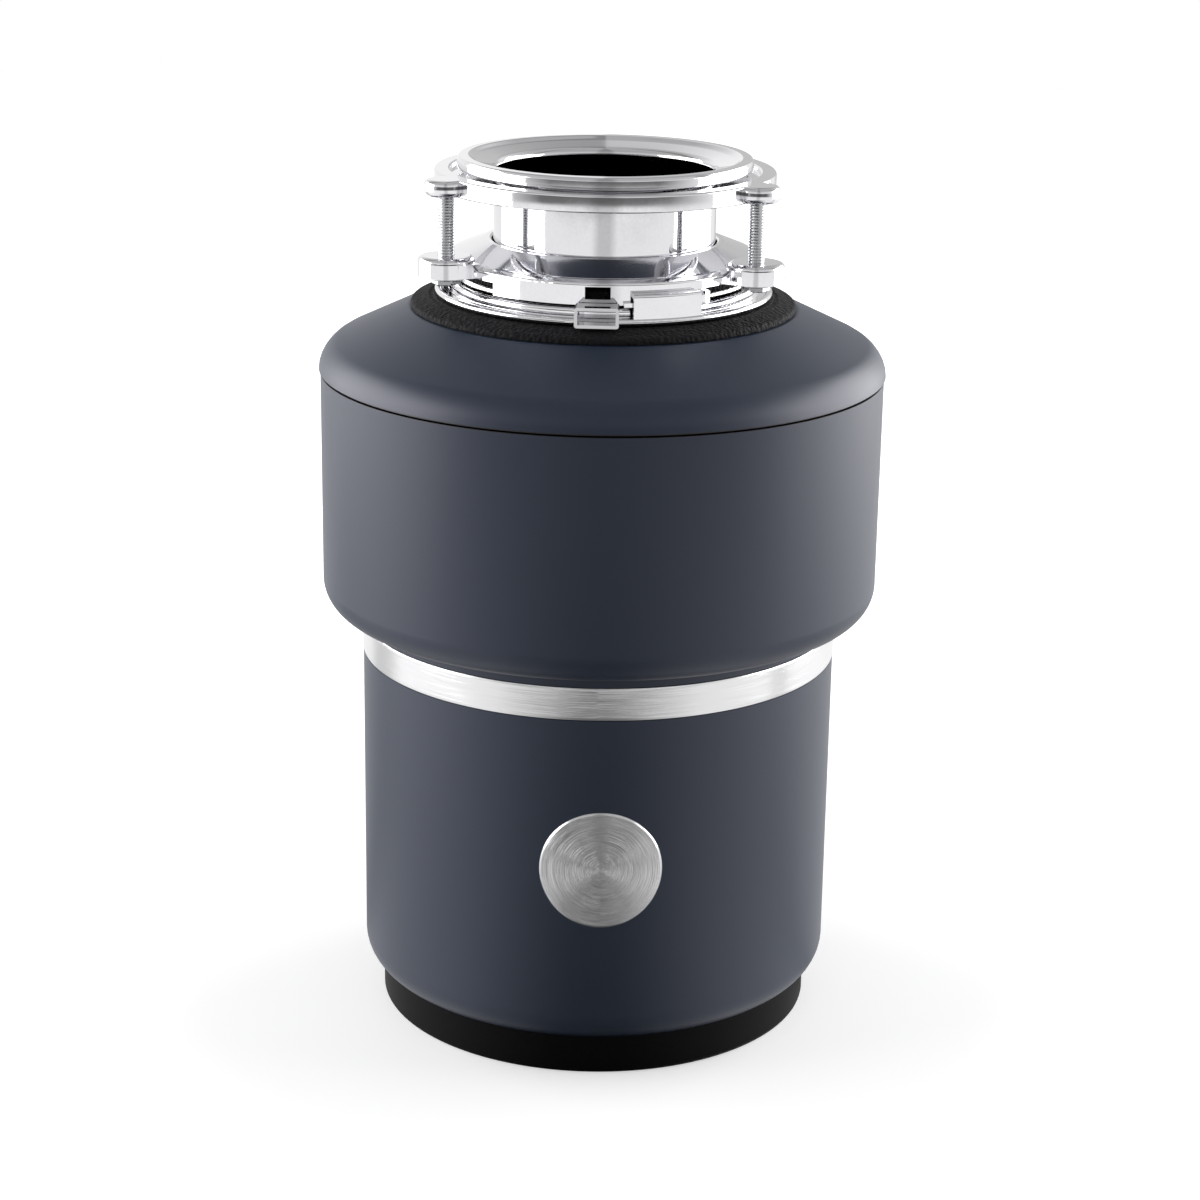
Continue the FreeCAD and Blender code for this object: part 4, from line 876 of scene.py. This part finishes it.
@dataclass
class SinkMount(Assembly):
    """Chromed mount: the sink flange, clamp plate, screws, lock ring and rubber collar."""

    finishes: Finishes
    throat_bore: float = 41.55
    throat_radius: float = 43.15
    throat_bottom: float = 300.0
    lip_radius: float = 57.15
    lip_seat: float = 341.8
    lip_top: float = 346.5
    snap_groove: float = 42.35
    snap_top: float = 309.7
    snap_thickness: float = 1.8
    plate_radius: float = 66.0
    plate_top: float = 341.5
    plate_bottom: float = 334.5
    plate_seat: float = 59.5
    plate_bore: float = 43.6
    plate_wall: float = 1.8
    screw_circle: float = 67.5
    screw_radius: float = 3.15
    thread_pitch: float = 1.1
    thread_depth: float = 0.24
    ear_bottom: float = 305.0
    ear_top: float = 312.6
    ear_radius: float = 8.5
    head_radius: float = 7.6
    azimuths: tuple[float, ...] = (-32.0, 88.0, 208.0)

    def make_flange(self) -> None:
        """Sink flange: rolled rim, cone down to the throat, snap groove."""
        top = self.lip_top
        flange = Bench.lathe("sink_flange_turned", [
            (self.throat_bore, self.throat_bottom, 0.3),
            (self.throat_bore, self.lip_seat + 0.9, 3.0),
            (self.lip_radius - 6.6, top - 1.5, 4.0),
            (self.lip_radius - 4.6, top, 1.6),
            (self.lip_radius - 0.7, top, 0.9),
            (self.lip_radius, top - 1.3, 0.7),
            (self.lip_radius, self.lip_seat, 0.3),
            (self.throat_radius, self.lip_seat),
            (self.throat_radius, self.snap_top),
            (self.snap_groove, self.snap_top),
            (self.snap_groove, self.snap_top - self.snap_thickness),
            (self.throat_radius, self.snap_top - self.snap_thickness),
            (self.throat_radius, self.throat_bottom, 0.3),
        ], 192)
        self.fit(flange, "polished_steel", "sink_flange")

    def make_clamp_plate(self) -> None:
        """Pressed plate: sunk seat, rounded rim, three pressed ears with screw holes."""
        low, top, wall = self.plate_bottom, self.plate_top, self.plate_wall
        plate = Bench.lathe("clamp_plate_pressed", [
            (self.plate_bore, low + wall, 0.4),
            (self.plate_bore, top - 2.0, 0.8),
            (self.plate_seat, top - 2.0, 0.5),
            (self.plate_seat + 0.5, top, 0.9),
            (self.plate_radius, top, 0.9),
            (self.plate_radius, low + 0.4, 0.7),
            (self.plate_radius - wall, low + 0.4, 0.4),
            (self.plate_seat + wall, top - 2.0 - wall, 0.8),
            (self.plate_bore + wall, top - 2.0 - wall, 0.6),
            (self.plate_bore + wall, low + wall, 0.4),
        ], 192)
        ear = Bench.bar("ear", self.ear_radius, low + 0.6, top - 0.02, 2.2, 64)
        ear = Bench.placed(ear, self.screw_circle)
        ears = Bench.around(ear, self.azimuths)
        core = Bench.bar("core", self.plate_radius - 1.0, low - 1.0, top + 1.0, 0.0, 192)
        ears = Bench.combine(ears, core)
        hole = Bench.placed(Bench.bar("hole", self.screw_radius - 0.4, low - 1.0, top - 1.6),
                            self.screw_circle)
        ears = Bench.combine(ears, Bench.around(hole, self.azimuths))
        plate = Bench.joined([plate, Bench.tidy(ears)], "clamp_plate_pressed")
        self.fit(plate, "chrome", "backup_flange")

    def make_screws(self) -> None:
        """Slotted hex screws with cut threads."""
        low, high = self.ear_bottom, self.plate_top - self.plate_wall
        core, crest = self.screw_radius - self.thread_depth, self.screw_radius
        outline = [(0.0, low), (core, low)]
        height = low + self.thread_pitch / 2
        while height < high - 2.0:
            outline.append((core, height))
            outline.append((crest, height + self.thread_pitch * 0.42))
            outline.append((crest, height + self.thread_pitch * 0.58))
            height += self.thread_pitch
        outline += [(core, height), (core, high - 0.6), (core - 0.8, high), (0.0, high)]
        shank = Bench.lathe("screws_threaded", outline, 32, closed=False)
        flange = Bench.bar("flange", self.head_radius, low - 1.2, low, 0.3)
        head = Bench.bar("head", 9.5 / math.sqrt(3.0), low - 3.4, low - 1.1, 0.35, 6)
        slot = Bench.block("slot", (-0.6, -9.0, low - 4.0), (0.6, 9.0, low - 2.2))
        head = Bench.tidy(Bench.combine(head, slot))
        screw = Bench.joined([shank, flange, head], "screws_threaded")
        screw = Bench.placed(screw, self.screw_circle)
        self.fit(Bench.around(screw, self.azimuths), "zinc_steel", "mounting_screws")

    def make_collar(self) -> None:
        """Rubber collar with a ribbed top and a soft edge."""
        collar = Bench.lathe("collar_moulded", [
            (50.2, 288.0),
            (50.2, 292.6, 0.6),
            (66.2, 292.6, 0.4),
            (66.6, 292.2, 0.3),
            (67.6, 292.2, 0.3),
            (68.0, 292.5, 0.8),
            (75.2, 290.2, 1.6),
            (75.2, 288.0, 0.4),
        ], 192)
        self.fit(collar, "black_rubber", "isolation_collar")

    def build(self) -> None:
        """Makes every piece of the mount."""
        self.make_flange()
        self.make_clamp_plate()
        self.make_screws()
        self.make_collar()


@dataclass
class Housing(Assembly):
    """Painted cover, trim band and badge."""

    finishes: Finishes
    rim: float = 111.1
    seam: float = 262.3
    seam_gap: float = 0.6
    wall: float = 2.5
    corner: float = 13.0
    groove: float = 0.7
    can: float = 94.8
    band_low: float = 149.2
    band_high: float = 162.5
    badge_radius: float = 23.5
    badge_height: float = 89.2
    badge_azimuth: float = -88.6

    def make_cover(self) -> None:
        """Dished cover with a stepped seat and a shadow groove above the seam."""
        low, rim, wall = self.seam + self.seam_gap, self.rim, self.wall
        cover = Bench.lathe("cover_dished", [
            (50.2, 285.5),
            (50.2, 288.0, 0.5),
            (76.2, 288.0, 2.2),
            (rim, 271.3, self.corner),
            (rim, low + self.groove, 0.35),
            (rim - 1.1, low + self.groove - 0.1, 0.1),
            (rim - 1.1, low),
            (rim - wall, low),
            (rim - wall, 269.55, self.corner - 2 * wall),
            (76.8, 283.6, 1.0),
            (74.3, 285.5, 1.0),
        ], 256)
        self.fit(cover, "slate_paint", "upper_cover")

    def make_band(self) -> None:
        """Thin crowned band with a hairline gap at both edges of its recess."""
        inner, outer = self.can - 0.6, self.can + 0.15
        band = Bench.lathe("trim_band_crowned", [
            (inner, self.band_low + 0.25),
            (outer - 0.1, self.band_low + 0.25, 0.25),
            (outer, self.band_low + 1.2, 0.8),
            (outer, self.band_high - 1.2, 0.8),
            (outer - 0.1, self.band_high - 0.25, 0.25),
            (inner, self.band_high - 0.25),
        ], 256)
        self.fit(band, "brushed_trim", "trim_band")

    def make_badge(self) -> None:
        """Bare round plate with a bevelled rim, bent to the can."""
        radius, thick = self.badge_radius, 1.0
        outline = [(0.0, 0.0), (radius, 0.0), (radius, thick * 0.55), (radius - 0.7, thick, 0.3)]
        outline += [(radius * k / 10.0, thick) for k in range(9, 0, -1)]
        outline.append((0.0, thick))
        disc = Bench.lathe("badge_bare", outline, 96, closed=False)
        disc.rotation_euler.x = math.radians(90.0)
        Bench.apply(disc)
        for vertex in disc.data.vertices:
            out = self.can * MM - vertex.co.y
            bend = vertex.co.x / (self.can * MM)
            vertex.co.x = out * math.sin(bend)
            vertex.co.y = -out * math.cos(bend)
        disc = Bench.placed(Bench.tidy(disc), z=self.badge_height, turn=self.badge_azimuth + 90.0)
        self.fit(disc, "badge_metal", "badge")

    def build(self) -> None:
        """Makes every piece of the housing."""
        self.make_cover()
        self.make_band()
        self.make_badge()


def main() -> None:
    """Builds the disposer's pieces in order, then the studio."""
    logging.basicConfig(level=logging.INFO, format="%(name)s: %(message)s")
    Studio().build()
    low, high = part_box("badge")
    finishes = Finishes(tuple((low + high) / 2))
    for row in frame["record"]["subparts"]:
        finishes.dress(frame["nodes"][row["node"]], row["material_slot"])
        LOG.info("dressed %s in %s", row["node"], row["material_slot"])
    for assembly in (SinkMount(finishes), Housing(finishes)):
        assembly.build()


if __name__ == "__main__":
    main()
